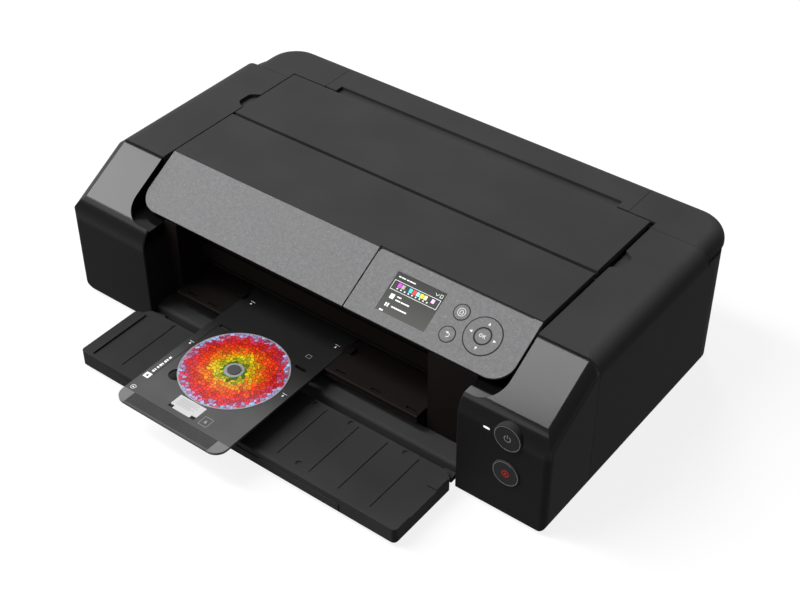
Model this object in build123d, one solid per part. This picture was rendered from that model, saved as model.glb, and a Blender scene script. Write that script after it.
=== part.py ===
"""Disc label printer: a wide desktop inkjet with a slide-in tray for printable discs.

Millimetres, +Z up.  X runs across the machine, Y from its front to its back.  The origin is on
the desk, under the middle of the machine with its disc tray out.  Depths named d are measured
back from the front faces of the two side housings, so a piece in front of them has a negative d.
"""
import os
from math import acos, atan2, cos, degrees, hypot, pi, radians, sin, tan

from build123d import *

os.makedirs("parts", exist_ok=True)

# ---------------------------------------------------------------- overall sizes
body_width = 639.0
body_depth = 365.5
foot_height = 5.0
housing_top = 169.0
cover_rise = 2.6
slope_angle = 30.0
crease_depth = 95.9
seam_depth = 195.1
wall = 2.6
seam = 0.5
seat_gap = 0.3
running = 0.05

# side housings
housing_top_radius = 18.5
left_bottom_radius = 16.0
right_bottom_radius = 8.0
front_corner_radius = 7.0
inner_corner_radius = 4.0
nose_radius = 28.0
brow_radius = 18.0
rear_corner_radius = 55.0
housing_slope_lift = 4.5
slope_edge_radius = 13.0
bezel_seam_depth = 81.5
left_inner = -208.0
right_inner = 213.0
cap_seam_depth = 294.5
cap_height = 18.0
cap_left = -305.0
cap_right = 316.0
cap_corner_radius = 40.0
base_half_width = 301.7
base_front = 9.0
base_back = 350.0
base_corner_radius = 40.0
floor_thickness = 3.0

# lifting cover, control panel and rear tray cover
slab_half_width = 244.4
slab_thickness = 8.0
slab_edge = 3.5
slab_slope_length = 74.0
slab_corner_radius = 24.0
slab_side_gap = 4.5
slab_rear_radius = 6.0
panel_left = 47.5
panel_gap = 1.6
panel_corner_radius = 4.0
pocket_gap = 5.0
pocket_front = 10.5
pocket_floor = 125.0
pocket_radius = 26.0
rear_tray_cover_back = 304.5
cover_pin_radius = 1.5
cover_pin_reach = 7.5
notch_start = 211.0
notch_length = 35.0
notch_width = 11.5
notch_depth = 4.5

# control panel contents, placed across (x) and down the slope (v)
screen_width = 61.0
screen_height = 45.8
screen_left = 80.0
screen_top = 15.3
panel_skin = 2.2
home_place = (165.0, 25.9)
back_place = (164.0, 52.4)
ring_place = (198.0, 38.6)
small_button_radius = 8.0
ring_radius = 19.8
button_gap = 0.3
small_button_travel = 0.6
button_proud = 0.35

# buttons and lamp on the right housing
power_x = 272.5
power_z = 107.5
power_radius = 16.0
power_proud = 1.5
power_flange_depth = 14.0
power_travel = 2.0
stop_z = 60.5
stop_radius = 15.7
stop_proud = 1.2
stop_flange_depth = 2.9
stop_travel = 1.0
lamp_x = 247.5
lamp_z = 106.5
lamp_width = 8.0
lamp_height = 3.2

# output opening, sill, inner fascia and disc guide
sill_top = 24.0
sill_front = 8.5
sill_back = 34.0
block_front = 34.5
beam_front = 69.5
beam_bottom = 63.0
right_block_left = 153.0
left_block_right = -190.0
guide_top = 44.0
guide_front = 23.5
guide_back = 95.0
guide_thickness = 10.0
guide_left = -188.5
guide_right = 147.5

# disc tray and disc
tray_left = -121.0
tray_width = 147.0
tray_length = 255.0
tray_reach = 141.5
tray_thickness = 3.0
tray_corner_radius = 14.0
tray_side_gap = 0.5
tray_seat = 41.5
tray_travel = 190.0
disc_radius = 60.0
disc_hole_radius = 7.5
disc_thickness = 1.2
disc_centre_back = 104.9
disc_recess_gap = 0.5

# output tray and its extension
out_left = -219.0
out_right = 213.0
out_reach = 98.0
out_top = 22.0
out_bottom = 5.6
out_skin = 3.0
out_rim_rise = 2.0
out_pin_depth = 4.5
out_pin_z = 13.5
out_pin_radius = 2.0
ext_left = -176.0
ext_right = 143.0
ext_length = 92.0
ext_thickness = 4.0
ext_travel = 70.0

# paper path
feed_depth = 190.0
feed_radius = 7.0
feed_shaft_radius = 4.0
eject_depth = 105.0
eject_radius = 5.0
eject_shaft_radius = 3.0
roller_gap = 0.2
path_centre = 6.5
sheet_width = 343.0
pinch_radius = 4.0
pinch_shaft_radius = 2.0
frame_left = -262.0
frame_right = 290.0
frame_plate = 2.0
gear_module = 4 / 3
feed_teeth = 30
eject_teeth = 30
idler_teeth = 45
pinion_teeth = 12
gear_width = 6.0
pinion_angle = 10.0
idler_pin_radius = 3.0

# carriage and its drive
carriage_home = 205.0
carriage_width = 150.0
carriage_front = 112.0
carriage_back = 170.0
carriage_floor = 53.0
carriage_rim = 125.0
carriage_wall = 2.5
tank_count = 10
tank_gap = 0.6
head_width = 40.0
head_bottom = 47.5
rail_depth = 181.0
rail_bottom = 58.0
rail_top = 132.0
rail_plate = 2.0
belt_radius = 8.0
belt_thickness = 1.2
belt_width = 5.0
belt_front = 172.0
belt_z = 112.0
drive_x = 268.0
idler_x = -240.0

# rear tray
chute_foot = (205.0, 52.0)
chute_head = (292.0, 150.0)
chute_plate = 3.0
pickup_radius = 15.0
pickup_up_chute = 45.0
guide_low = 62.0
guide_high = 105.0
fence_height = 12.0

# manual feed cover on the rear
manual_left = -200.5
manual_right = 215.5
manual_front = 306.5
manual_bottom = 66.0
manual_rear_radius = 16.0
manual_barrel = 3.5

# ---------------------------------------------------------------- sizes worked out from these
overall_depth = body_depth + tray_reach
front = tray_reach - overall_depth / 2
half_width = body_width / 2
cover_top = housing_top + cover_rise
slope = radians(slope_angle)
tray_top = tray_seat + tray_thickness
feed_z = tray_seat - roller_gap - feed_radius
eject_z = tray_seat - roller_gap - eject_radius
floor_top = foot_height + floor_thickness


# ---------------------------------------------------------------- helpers
def block(x0, x1, d0, d1, z0, z1):
    """A box between two corners."""
    middle = Pos((x0 + x1) / 2, front + (d0 + d1) / 2, (z0 + z1) / 2)
    return middle * Box(x1 - x0, d1 - d0, z1 - z0)


def rod_x(x0, x1, d, z, radius):
    """A round bar that runs across the machine."""
    return Pos((x0 + x1) / 2, front + d, z) * Rot(0, 90, 0) * Cylinder(radius, x1 - x0)


def rod_y(x, d0, d1, z, radius):
    """A round bar that runs from front to back."""
    return Pos(x, front + (d0 + d1) / 2, z) * Rot(90, 0, 0) * Cylinder(radius, d1 - d0)


def rod_z(x, d, z0, z1, radius):
    """An upright round bar."""
    return Pos(x, front + d, (z0 + z1) / 2) * Cylinder(radius, z1 - z0)


def outline(corners):
    """A face through corners (a, b, radius); a radius of 0 leaves a corner sharp."""
    points = [Vector(a, b) for a, b, _ in corners]
    count = len(points)
    entries, exits, edges = [], [], []
    for i, (_, _, radius) in enumerate(corners):
        corner = points[i]
        back_way = (points[i - 1] - corner).normalized()
        on_way = (points[(i + 1) % count] - corner).normalized()
        half = radians(back_way.get_angle(on_way)) / 2
        reach = radius / tan(half)
        entries.append(corner + back_way * reach)
        exits.append(corner + on_way * reach)
        if radius:
            inward = (back_way + on_way).normalized()
            crown = corner + inward * (radius / sin(half) - radius)
            edges.append(ThreePointArc(entries[i], crown, exits[i]))
    for i in range(count):
        following = entries[(i + 1) % count]
        if (following - exits[i]).length > 1e-6:
            edges.append(Line(exits[i], following))
    return make_face(edges)


def across(corners, x0, x1):
    """A side-view outline in (d, z), drawn out from x0 to x1."""
    side_plane = Plane(origin=(x0, front, 0), x_dir=(0, 1, 0), z_dir=(1, 0, 0))
    return extrude(side_plane * outline(corners), x1 - x0)


def along(corners, d0, d1):
    """A front-view outline in (x, z), drawn out from depth d0 to d1."""
    front_plane = Plane(origin=(0, front + d0, 0), x_dir=(1, 0, 0), z_dir=(0, -1, 0))
    return extrude(front_plane * outline(corners), d0 - d1)


def upright(corners, z0, z1):
    """A plan outline in (x, d), drawn up from z0 to z1."""
    plan_plane = Plane(origin=(0, front, z0), x_dir=(1, 0, 0), z_dir=(0, 0, 1))
    return extrude(plan_plane * outline(corners), z1 - z0)


def rectangle(a0, a1, b0, b1, radius=0.0):
    """The corners of a rectangle, all with one radius."""
    return [(a0, b0, radius), (a1, b0, radius), (a1, b1, radius), (a0, b1, radius)]


def save(name, *solids):
    """Write one node, as a single solid or a group of separate solids."""
    shape = solids[0] if len(solids) == 1 else Compound(children=list(solids))
    export_step(shape, f"parts/{name}.step")


def pocket_rows(x0, x1, d0, d1, z0, z1, columns, rows, rib):
    """A grid of blind pockets that leaves ribs between them."""
    cell_x = (x1 - x0 - rib * (columns - 1)) / columns
    cell_d = (d1 - d0 - rib * (rows - 1)) / rows
    pockets = []
    for column in range(columns):
        left = x0 + column * (cell_x + rib)
        for row in range(rows):
            near = d0 + row * (cell_d + rib)
            pockets.append(block(left, left + cell_x, near, near + cell_d, z0, z1))
    return pockets


# ---------------------------------------------------------------- side housings
slope_plane = Plane(
    origin=(0, front + crease_depth, cover_top),
    x_dir=(1, 0, 0),
    z_dir=(0, -sin(slope), cos(slope)),
)
down_slope = Plane(
    origin=(0, front + crease_depth, cover_top),
    x_dir=(1, 0, 0),
    z_dir=(0, cos(slope), sin(slope)),
)


def slope_height(d, lift=0.0):
    """Height of the sloping face at depth d, lifted square to itself."""
    return cover_top - (crease_depth - d) * tan(slope) + lift / cos(slope)


def brow_depth(inset):
    """Depth where the housings' slope meets their flat top."""
    rise = housing_top - inset - slope_height(0, housing_slope_lift - inset)
    return rise / tan(slope)


def housing(side, inner, bottom_radius, inset, d0, d1):
    """One side housing between two depths, as a solid form, all faces moved in by inset."""
    outer = side * (half_width - inset)
    bottom = foot_height + inset
    top = housing_top - inset
    across_view = [
        (inner, bottom, 0),
        (outer, bottom, bottom_radius - inset),
        (outer, top, housing_top_radius - inset),
        (inner, top, 0),
    ]
    nose = slope_height(inset, housing_slope_lift - inset)
    side_view = [
        (inset, bottom, 0),
        (inset, nose, nose_radius - inset),
        (brow_depth(inset), top, brow_radius),
        (body_depth, top, 0),
        (body_depth, bottom, 0),
    ]
    plan_view = [
        (inner, inset, 0),
        (outer, inset, front_corner_radius - inset),
        (outer, body_depth, 0),
        (inner, body_depth, 0),
    ]
    face = housing_slope_lift - inset
    down_slope_view = [
        (inner, -face, 0),
        (outer, -face, slope_edge_radius - inset),
        (outer, body_depth - face, 0),
        (inner, body_depth - face, 0),
    ]
    low_x, high_x = min(inner, outer), max(inner, outer)
    form = along(across_view, d0, d1) & across(side_view, low_x, high_x)
    form = form & extrude(down_slope.offset(-body_depth) * outline(down_slope_view), 2 * body_depth)
    return form & upright(plan_view, bottom, top)


def body_plan(inset, d0):
    """Plan of the whole body behind depth d0, with its rounded rear corners."""
    outer = half_width - inset
    back = body_depth - inset
    radius = rear_corner_radius - inset
    return [(-outer, d0, 0), (outer, d0, 0), (outer, back, radius), (-outer, back, radius)]


def base_plan(gap):
    """Plan of the base pan, grown by a gap."""
    outer = base_half_width + gap
    near = base_front - gap
    back = base_back + gap
    radius = base_corner_radius + gap
    return [(-outer, near, 0), (outer, near, 0), (outer, back, radius), (-outer, back, radius)]


base_clearance = upright(base_plan(seat_gap), foot_height - 1, floor_top + seat_gap)


def pocket(side, inner, grow, floor):
    """The recess in a front bezel under the corner of the cover slab."""
    outer = side * (slab_half_width + pocket_gap + grow)
    reach_in = inner - side * 20
    near = pocket_front - grow
    corners = [
        (reach_in, near, 0),
        (outer, near, pocket_radius + grow),
        (outer, bezel_seam_depth + 20, 0),
        (reach_in, bezel_seam_depth + 20, 0),
    ]
    return upright(corners, floor, cover_top + 10)


def front_bezel(side, inner, bottom_radius):
    """Front cover of a side housing: sloping brow, rounded nose and a wall to the output bay."""
    outside = housing(side, inner, bottom_radius, 0, 0, bezel_seam_depth)
    inside = housing(side, inner + side * wall, bottom_radius, wall, wall, bezel_seam_depth)
    inside = inside - pocket(side, inner, wall, pocket_floor - wall)
    shell = outside - pocket(side, inner, 0, pocket_floor) - inside - base_clearance
    inner_front = shell.edges().filter_by(Axis.Z).sort_by_distance((inner, front, 60))[0]
    return fillet(inner_front, inner_corner_radius / 2)


left_bezel = front_bezel(-1, left_inner, left_bottom_radius)
right_bezel = front_bezel(1, right_inner, right_bottom_radius)


right_bezel -= rod_y(power_x, -1, power_flange_depth - 1, power_z, power_radius + button_gap)
right_bezel -= rod_y(power_x, -1, stop_flange_depth, stop_z, stop_radius + button_gap)
left_bezel -= rod_x(
    left_inner - wall - 1, left_inner + 1, out_pin_depth, out_pin_z, out_pin_radius + running
)
right_bezel -= rod_x(
    right_inner - 1, right_inner + wall + 1, out_pin_depth, out_pin_z, out_pin_radius + running
)
lamp_outline = rectangle(
    lamp_x - lamp_width / 2,
    lamp_x + lamp_width / 2,
    lamp_z - lamp_height / 2,
    lamp_z + lamp_height / 2,
    lamp_height / 2 - 0.01,
)
right_bezel -= along(lamp_outline, -1, wall + 6)
save("left_front_bezel", left_bezel)
save("right_front_bezel", right_bezel)


def side_cover(side, bottom_radius):
    """Side shell with the flat top beside the covers, down to a flange round the base pan."""
    start = bezel_seam_depth + seam
    gap_edge = side * (slab_half_width + slab_side_gap)
    top_part = housing(side, gap_edge, bottom_radius, 0, start, cap_seam_depth)
    top_void = housing(side, gap_edge, bottom_radius, wall, start - 1, cap_seam_depth + 1)
    corner_plan = body_plan(0, cap_seam_depth - 1)
    corner_view = [
        (side * (half_width - rear_corner_radius), foot_height, 0),
        (side * half_width, foot_height, bottom_radius),
        (side * half_width, housing_top - cap_height, 0),
        (side * (half_width - rear_corner_radius), housing_top - cap_height, 0),
    ]
    corner_part = upright(corner_plan, foot_height, housing_top)
    corner_part = corner_part & along(corner_view, cap_seam_depth, body_depth)
    corner_void = upright(
        body_plan(wall, cap_seam_depth - 1), foot_height + wall, housing_top - cap_height - wall
    )
    flange = block(
        min(gap_edge, gap_edge + side * wall),
        max(gap_edge, gap_edge + side * wall),
        start,
        cap_seam_depth,
        housing_top - 16,
        housing_top - 1,
    )
    cup_x = gap_edge + side * (notch_width + wall)
    cup = block(
        min(gap_edge, cup_x),
        max(gap_edge, cup_x),
        notch_start - wall,
        notch_start + notch_length + wall,
        housing_top - notch_depth - wall,
        housing_top - 1,
    )
    notch_far = gap_edge + side * notch_width
    notch = upright(
        [
            (gap_edge - side, notch_start, 0),
            (notch_far, notch_start + 8, 7),
            (notch_far, notch_start + notch_length - 8, 7),
            (gap_edge - side, notch_start + notch_length, 0),
        ],
        housing_top - notch_depth,
        housing_top + 1,
    )
    # The riser closes the step between the side cover's top and the deck under the rear cap.
    riser = housing(side, gap_edge, bottom_radius, 0, cap_seam_depth - wall, cap_seam_depth)
    riser -= block(
        -half_width - 1,
        half_width + 1,
        cap_seam_depth - wall - 1,
        cap_seam_depth + 1,
        0,
        housing_top - cap_height - wall,
    )
    shell = (top_part - top_void) + (corner_part - corner_void) + flange + cup + riser
    shell -= notch
    pin_depth = seam_depth - 0.5 - slab_rear_radius
    hole = rod_x(-10, 10, pin_depth, cover_top - slab_rear_radius, cover_pin_radius + running)
    return shell - Pos(gap_edge, 0, 0) * hole - base_clearance


save("left_side_cover", side_cover(-1, left_bottom_radius))
save("right_side_cover", side_cover(1, right_bottom_radius))

# ---------------------------------------------------------------- rear cap, rear panel, base pan
cap_bottom = housing_top - cap_height
cap_start = cap_seam_depth + seam


def cap_slab(inset, bottom, top):
    """An upright slab with the rear cap's outline, moved in by inset."""
    corners = [
        (cap_left + inset, cap_start - 1, 0),
        (cap_right - inset, cap_start - 1, 0),
        (cap_right - inset, body_depth - inset, cap_corner_radius - inset),
        (cap_left + inset, body_depth - inset, cap_corner_radius - inset),
    ]
    return upright(corners, bottom, top)


cap_form = cap_slab(0, cap_bottom + seam, housing_top)
cap_crown = cap_form.faces().sort_by(Axis.Z)[-1]
cap_front_edge = cap_crown.edges().sort_by(Axis.Y)[0]
soft_edges = [edge for edge in cap_crown.edges() if edge.center().Y > cap_front_edge.center().Y + 1]
cap_form = fillet(soft_edges, manual_rear_radius)
cap_form -= block(-half_width, half_width, cap_start - 2, cap_start, cap_bottom, housing_top + 1)
cap_step = manual_rear_radius / 2
rear_cap = cap_form - cap_slab(wall, cap_bottom, housing_top - cap_step - wall)
rear_cap -= cap_slab(cap_step, cap_bottom, housing_top - wall)
rear_cap -= block(
    -slab_half_width - slab_side_gap,
    slab_half_width + slab_side_gap,
    cap_start - 1,
    rear_tray_cover_back + 1.5,
    cap_bottom,
    housing_top + 1,
)
rear_cap -= block(
    manual_left - seam,
    manual_right + seam,
    cap_start - 1,
    body_depth + 1,
    cap_bottom,
    housing_top + 1,
)
for side in (-1, 1):
    cheek_x = side * (slab_half_width + slab_side_gap)
    cheek = block(
        min(cheek_x, cheek_x + side * wall),
        max(cheek_x, cheek_x + side * wall),
        cap_start,
        rear_tray_cover_back + 3,
        cap_bottom + seam,
        housing_top - 1,
    )
    rear_cap += cheek
rear_cap += block(
    -slab_half_width - slab_side_gap - wall,
    slab_half_width + slab_side_gap + wall,
    manual_front,
    manual_front + 18,
    housing_top - 10.7,
    housing_top - 7.5,
)
pin_back = rear_tray_cover_back - slab_rear_radius
rear_cap -= rod_x(
    -slab_half_width - 10,
    slab_half_width + 10,
    pin_back,
    cover_top - slab_rear_radius,
    cover_pin_radius + running,
)
save("rear_cap", rear_cap)

inlet_x = -236.0
inlet_z = 32.0
ports_x = 240.0
ports_z = 27.0
panel_edge = half_width - rear_corner_radius - seam
rear_panel = block(
    -panel_edge, panel_edge, body_depth - wall, body_depth, foot_height, cap_bottom
)
rear_panel += block(
    -panel_edge, panel_edge, base_back - 2, body_depth, foot_height, foot_height + wall
)
rear_panel -= block(
    manual_left - seam,
    manual_right + seam,
    body_depth - wall - 1,
    body_depth + 1,
    manual_bottom - manual_barrel - 1,
    cap_bottom + 1,
)
ear_front = body_depth - 2 * manual_barrel - 1.0
for ear_x in (manual_left - seam - wall, manual_right + seam):
    rear_panel += block(
        ear_x,
        ear_x + wall,
        ear_front,
        body_depth - wall / 2,
        manual_bottom - manual_barrel,
        manual_bottom + manual_barrel,
    )
barrel_depth = body_depth - manual_barrel - 0.4
rear_panel -= rod_x(
    manual_left - 10, manual_right + 10, barrel_depth, manual_bottom, cover_pin_radius + running
)
rear_panel -= block(inlet_x - 13.3, inlet_x + 13.3, base_back, body_depth + 1, 22.7, 41.3)
rear_panel -= block(ports_x - 20.3, ports_x + 20.3, base_back, body_depth + 1, 18.7, 35.3)
for slot in range(9):
    vent_x = inlet_x - 16 + slot * 4
    rear_panel -= block(vent_x, vent_x + 2, body_depth - wall - 1, body_depth + 1, 90, 125)
rear_panel -= base_clearance
save("rear_panel", rear_panel)

base_pan = upright(base_plan(0), foot_height, floor_top)
sill = across(
    [
        (sill_front, foot_height, 0),
        (sill_front, sill_top, 4),
        (sill_back, sill_top, 0),
        (sill_back, foot_height, 0),
    ],
    left_inner + seat_gap,
    right_inner - seat_gap,
)
sill_void = block(
    left_inner + 4, right_inner - 4, sill_front + wall, sill_back + 1, floor_top, sill_top - wall
)
base_pan += sill - sill_void
for rib_x in (-140, -70, 0, 70, 140):
    base_pan += block(rib_x, rib_x + 2, sill_front + 1, sill_back, floor_top - 1, sill_top - 1)
base_pan += block(left_inner + 4, right_inner - 4, 200, 202, floor_top - 1, 14)
for edge_x in (-285, 297):
    base_pan += block(edge_x, edge_x + 2, 100, 300, floor_top - 1, 13)
save("base_pan", base_pan)

foot_radius = 9.0
feet = []
for foot_x in (-base_half_width + 24, base_half_width - 24):
    for foot_d in (base_front + 24, base_back - 34):
        feet.append(rod_z(foot_x, foot_d, 0, foot_height, foot_radius))
save("rubber_feet", *feet)

# ---------------------------------------------------------------- inner fascia
fascia_top = slope_height(block_front) - (slab_thickness + 0.3) / cos(slope)
right_reach = right_inner - seat_gap
left_reach = left_inner + seat_gap
guide_clear = 0.5
fascia = block(right_block_left, right_reach, block_front, block_front + wall, sill_top, cover_top)
fascia += block(
    right_block_left, right_block_left + wall, block_front, beam_front + wall, sill_top, cover_top
)
fascia += block(
    left_block_right - wall, left_block_right, block_front, beam_front + wall, sill_top, cover_top
)
fascia += block(left_reach, left_block_right, block_front, block_front + wall, sill_top, cover_top)
fascia += block(
    left_block_right - wall,
    right_block_left + wall,
    beam_front,
    beam_front + wall,
    beam_bottom,
    cover_top,
)
for ledge_z in (beam_bottom, beam_bottom + 24):
    fascia += block(
        left_block_right, right_block_left, beam_front - 3, beam_front + 1, ledge_z, ledge_z + 2
    )
under_slab = across(
    [
        (-50, slope_height(-50) - slab_thickness / cos(slope) - seat_gap, 0),
        (crease_depth, cover_top - slab_thickness / cos(slope) - seat_gap, 0),
        (crease_depth, cover_top + 40, 0),
        (-50, cover_top + 40, 0),
    ],
    -half_width,
    half_width,
)
fascia -= under_slab
save("inner_fascia", fascia)

# ---------------------------------------------------------------- cover slab
slab_top_low = cover_top - slab_thickness
bend = slab_thickness * tan(slope / 2)
pin_z = cover_top - slab_rear_radius
cover_back = seam_depth - 0.5


def slope_solid(x0, x1, v0, v1, w0, w1, radii=(0, 0, 0, 0)):
    """A block on the slope: v runs down the slope from the crease, w out from its face."""
    corners = [
        (x0, -v1, radii[0]),
        (x1, -v1, radii[1]),
        (x1, -v0, radii[2]),
        (x0, -v0, radii[3]),
    ]
    return extrude(slope_plane.offset(w0) * outline(corners), w1 - w0)


def slope_rod(place, w0, w1, radius):
    """A round bar square to the slope, between two heights over its face."""
    x, v = place
    return slope_plane.offset((w0 + w1) / 2) * Pos(x, -v, 0) * Cylinder(radius, w1 - w0)


chamfer_size = slab_thickness - slab_edge
cover_left = -slab_half_width
cover_split = panel_left - panel_gap
plate_profile = [
    (crease_depth + panel_gap, slab_top_low, 0),
    (cover_back, slab_top_low, 0),
    (cover_back, cover_top, slab_rear_radius - 0.01),
    (crease_depth + panel_gap, cover_top, 0),
]
top_plate = across(plate_profile, cover_left, slab_half_width)
slope_part = slope_solid(
    cover_left,
    cover_split,
    0,
    slab_slope_length,
    -slab_thickness,
    0,
    (slab_corner_radius, 0, 0, 0),
)
bend_fill = across(
    [
        (crease_depth - bend, slab_top_low, 0),
        (crease_depth + 2 * panel_gap, slab_top_low, 0),
        (crease_depth + 2 * panel_gap, cover_top, 0),
        (crease_depth, cover_top, 0),
    ],
    cover_left,
    cover_split,
)
slope_below = across(
    [
        (crease_depth + 0.01, cover_top - 30, 0),
        (crease_depth + 40, cover_top - 30, 0),
        (crease_depth + 40, slab_top_low, 0),
        (crease_depth + 0.01, slab_top_low, 0),
    ],
    cover_left - 1,
    cover_split + 1,
)
top_cover = top_plate + (slope_part - slope_below) + bend_fill
fascia_skin = 1.5
cover_pockets = pocket_rows(
    cover_left + 8,
    slab_half_width - 8,
    crease_depth + 10,
    cover_back - 12,
    slab_top_low - 1,
    cover_top - wall,
    4,
    2,
    3,
)
for hollow in cover_pockets:
    top_cover -= hollow
for column in range(3):
    cell = (cover_split - cover_left - 60) / 3
    near_x = cover_left + 26 + column * (cell + 3)
    top_cover -= slope_solid(near_x, near_x + cell, 8, 66, -slab_thickness - 1, -fascia_skin - wall)
fascia_panel = slope_solid(
    cover_left,
    cover_split,
    1.0,
    slab_slope_length,
    -fascia_skin,
    0,
    (slab_corner_radius, 0, 0, 0),
)
top_cover -= slope_solid(
    cover_left - 1, cover_split + 1, 0.8, slab_slope_length + 1, -fascia_skin, 1
)
undercut = slope_solid(cover_left - 9, slab_half_width + 9, -20, 99, -slab_thickness - 1, -slab_edge)
kept = slope_solid(
    cover_left,
    slab_half_width,
    -20,
    slab_slope_length,
    -slab_edge - 0.01,
    -slab_edge,
    (slab_corner_radius, slab_corner_radius, 0, 0),
)
kept_face = kept.faces().sort_by(Axis((0, 0, 0), slope_plane.z_dir))[-1]
kept_taper = extrude(kept_face, slab_thickness, dir=-slope_plane.z_dir, taper=45)
above_crease = across(
    [
        (crease_depth - 12, cover_top - 40, 0),
        (crease_depth + 80, cover_top - 40, 0),
        (crease_depth + 80, cover_top + 20, 0),
        (crease_depth - 12, cover_top + 20, 0),
    ],
    cover_left - 12,
    slab_half_width + 12,
)
undercut = undercut - kept_taper - above_crease
top_cover -= undercut
for side in (-1, 1):
    inner_x = side * slab_half_width
    outer_x = side * (slab_half_width + cover_pin_reach)
    top_cover += rod_x(
        min(inner_x - side * 4, outer_x),
        max(inner_x - side * 4, outer_x),
        cover_back - slab_rear_radius,
        pin_z,
        cover_pin_radius,
    )
save("top_cover", top_cover)
save("cover_fascia", fascia_panel)

rear_tray_cover = across(
    [
        (seam_depth + 0.5, slab_top_low, 0),
        (rear_tray_cover_back, slab_top_low, 0),
        (rear_tray_cover_back, cover_top, slab_rear_radius - 0.01),
        (seam_depth + 0.5, cover_top, 0),
    ],
    cover_left,
    slab_half_width,
)
for hollow in pocket_rows(
    cover_left + 6,
    slab_half_width - 6,
    seam_depth + 6,
    rear_tray_cover_back - 12,
    slab_top_low - 1,
    cover_top - wall,
    4,
    2,
    3,
):
    rear_tray_cover -= hollow
for side in (-1, 1):
    inner_x = side * (slab_half_width - 4)
    outer_x = side * (slab_half_width + cover_pin_reach)
    rear_tray_cover += rod_x(
        min(inner_x, outer_x), max(inner_x, outer_x), pin_back, pin_z, cover_pin_radius
    )
save("rear_tray_cover", rear_tray_cover)

# ---------------------------------------------------------------- control panel
control_panel = slope_solid(
    panel_left,
    slab_half_width,
    0,
    slab_slope_length,
    -slab_thickness,
    0,
    (1, slab_corner_radius, 1, panel_corner_radius),
)
control_panel -= undercut
cavity = (56.0, 233.0, 8.0, 66.0)
control_panel -= slope_solid(
    cavity[0], cavity[1], cavity[2], cavity[3], -slab_thickness - 1, -panel_skin, (3, 14, 3, 3)
)
screen_right = screen_left + screen_width
screen_low = screen_top + screen_height
control_panel -= slope_solid(screen_left, screen_right, screen_top, screen_low, -panel_skin - 1, 1)
for place, radius in (
    (home_place, small_button_radius),
    (back_place, small_button_radius),
    (ring_place, ring_radius),
):
    control_panel -= slope_rod(place, -panel_skin - 1, 1, radius + button_gap)
control_panel -= block(
    panel_left - 1, slab_half_width + 1, crease_depth - 0.3, crease_depth + 20, 100, cover_top + 1
)
save("control_panel", control_panel)

glass_clear = 0.15
save(
    "display_screen",
    slope_solid(
        screen_left + glass_clear,
        screen_right - glass_clear,
        screen_top + glass_clear,
        screen_low - glass_clear,
        -panel_skin - 1.3,
        -0.4,
    )
    + slope_solid(
        screen_left - 3, screen_right + 3, screen_top - 3, screen_low + 3, -panel_skin - 2.3, -2.5
    ),
)
board = slope_solid(
    cavity[0] + 1, cavity[1] - 1, cavity[2] + 1, cavity[3] - 1, -7.6, -6.0, (3, 13, 3, 3)
)
board += slope_solid(screen_left, screen_right, screen_top, screen_low, -6.1, -4.5)
for key_x, key_v in (home_place, back_place, ring_place):
    board += slope_solid(key_x - 2.5, key_x + 2.5, key_v - 2.5, key_v + 2.5, -6.1, -4.7)
save("control_board", board)


def round_button(place, radius, w_out):
    """A pressed key: cap through the panel skin and a flange that holds it under the skin."""
    key = slope_rod(place, -3.1, w_out, radius)
    return key + slope_rod(place, -3.9, -panel_skin - 0.1, radius + 1.0)


save("home_button", round_button(home_place, small_button_radius, button_proud))
save("back_button", round_button(back_place, small_button_radius, button_proud))
save("ok_button", slope_rod(ring_place, -3.9, button_proud, small_button_radius))
ring_bore = small_button_radius + button_gap
direction_pad = slope_rod(ring_place, -3.1, button_proud, ring_radius)
direction_pad += slope_rod(ring_place, -3.1, -panel_skin - 0.1, ring_radius + 1.0)
direction_pad -= slope_rod(ring_place, -4, 1, ring_bore)
save("direction_pad", direction_pad)


def front_button(z, radius, proud, flange_depth):
    """A round button in the right housing: its cap, and a rim flange behind the wall."""
    cap = rod_y(power_x, -proud, flange_depth + 1.2, z, radius)
    rim = cap.edges().sort_by(Axis.Y)[0]
    cap = chamfer(rim, 0.7)
    return cap + rod_y(power_x, flange_depth, flange_depth + 1.2, z, radius + 1.4)


power_button = front_button(power_z, power_radius, power_proud, power_flange_depth)
stop_button = front_button(stop_z, stop_radius, stop_proud, stop_flange_depth)
save("power_button", power_button)
save("stop_button", stop_button)
lamp_inner = rectangle(
    lamp_x - lamp_width / 2 + 0.1,
    lamp_x + lamp_width / 2 - 0.1,
    lamp_z - lamp_height / 2 + 0.1,
    lamp_z + lamp_height / 2 - 0.1,
    lamp_height / 2 - 0.12,
)
save("power_lamp", along(lamp_inner, 0.5, wall + 4))

# ---------------------------------------------------------------- disc guide
tray_right = tray_left + tray_width
channel_left = tray_left - tray_side_gap
channel_right = tray_right + tray_side_gap
guide_floor = tray_seat
guide_bottom = guide_top - guide_thickness
disc_guide = across(
    [
        (guide_front, guide_bottom, 1),
        (guide_front, guide_top, 1.5),
        (guide_back, guide_top, 0),
        (guide_back, guide_bottom, 0),
    ],
    guide_left,
    guide_right,
)
disc_guide -= block(
    guide_left - 1,
    guide_right + 1,
    guide_front - 1,
    guide_front + 1.6,
    guide_bottom + 3.6,
    guide_top - 3.4,
)
disc_guide -= block(
    channel_left, channel_right, guide_front - 1, guide_back + 1, guide_floor, guide_top + 1
)
for hollow in pocket_rows(
    guide_left + 3, guide_right - 3, guide_front + 5, guide_back - 3, 30, guide_floor - 2.5, 6, 1, 2.5
):
    disc_guide -= hollow
for dash_x in (-176.0, -146.0, 37.0, 84.5, 130.0):
    disc_guide -= block(
        dash_x, dash_x + 13, guide_front + 5, guide_front + 7.5, guide_floor + 0.5, guide_top + 1
    )
clip_arm = 9.0
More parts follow.
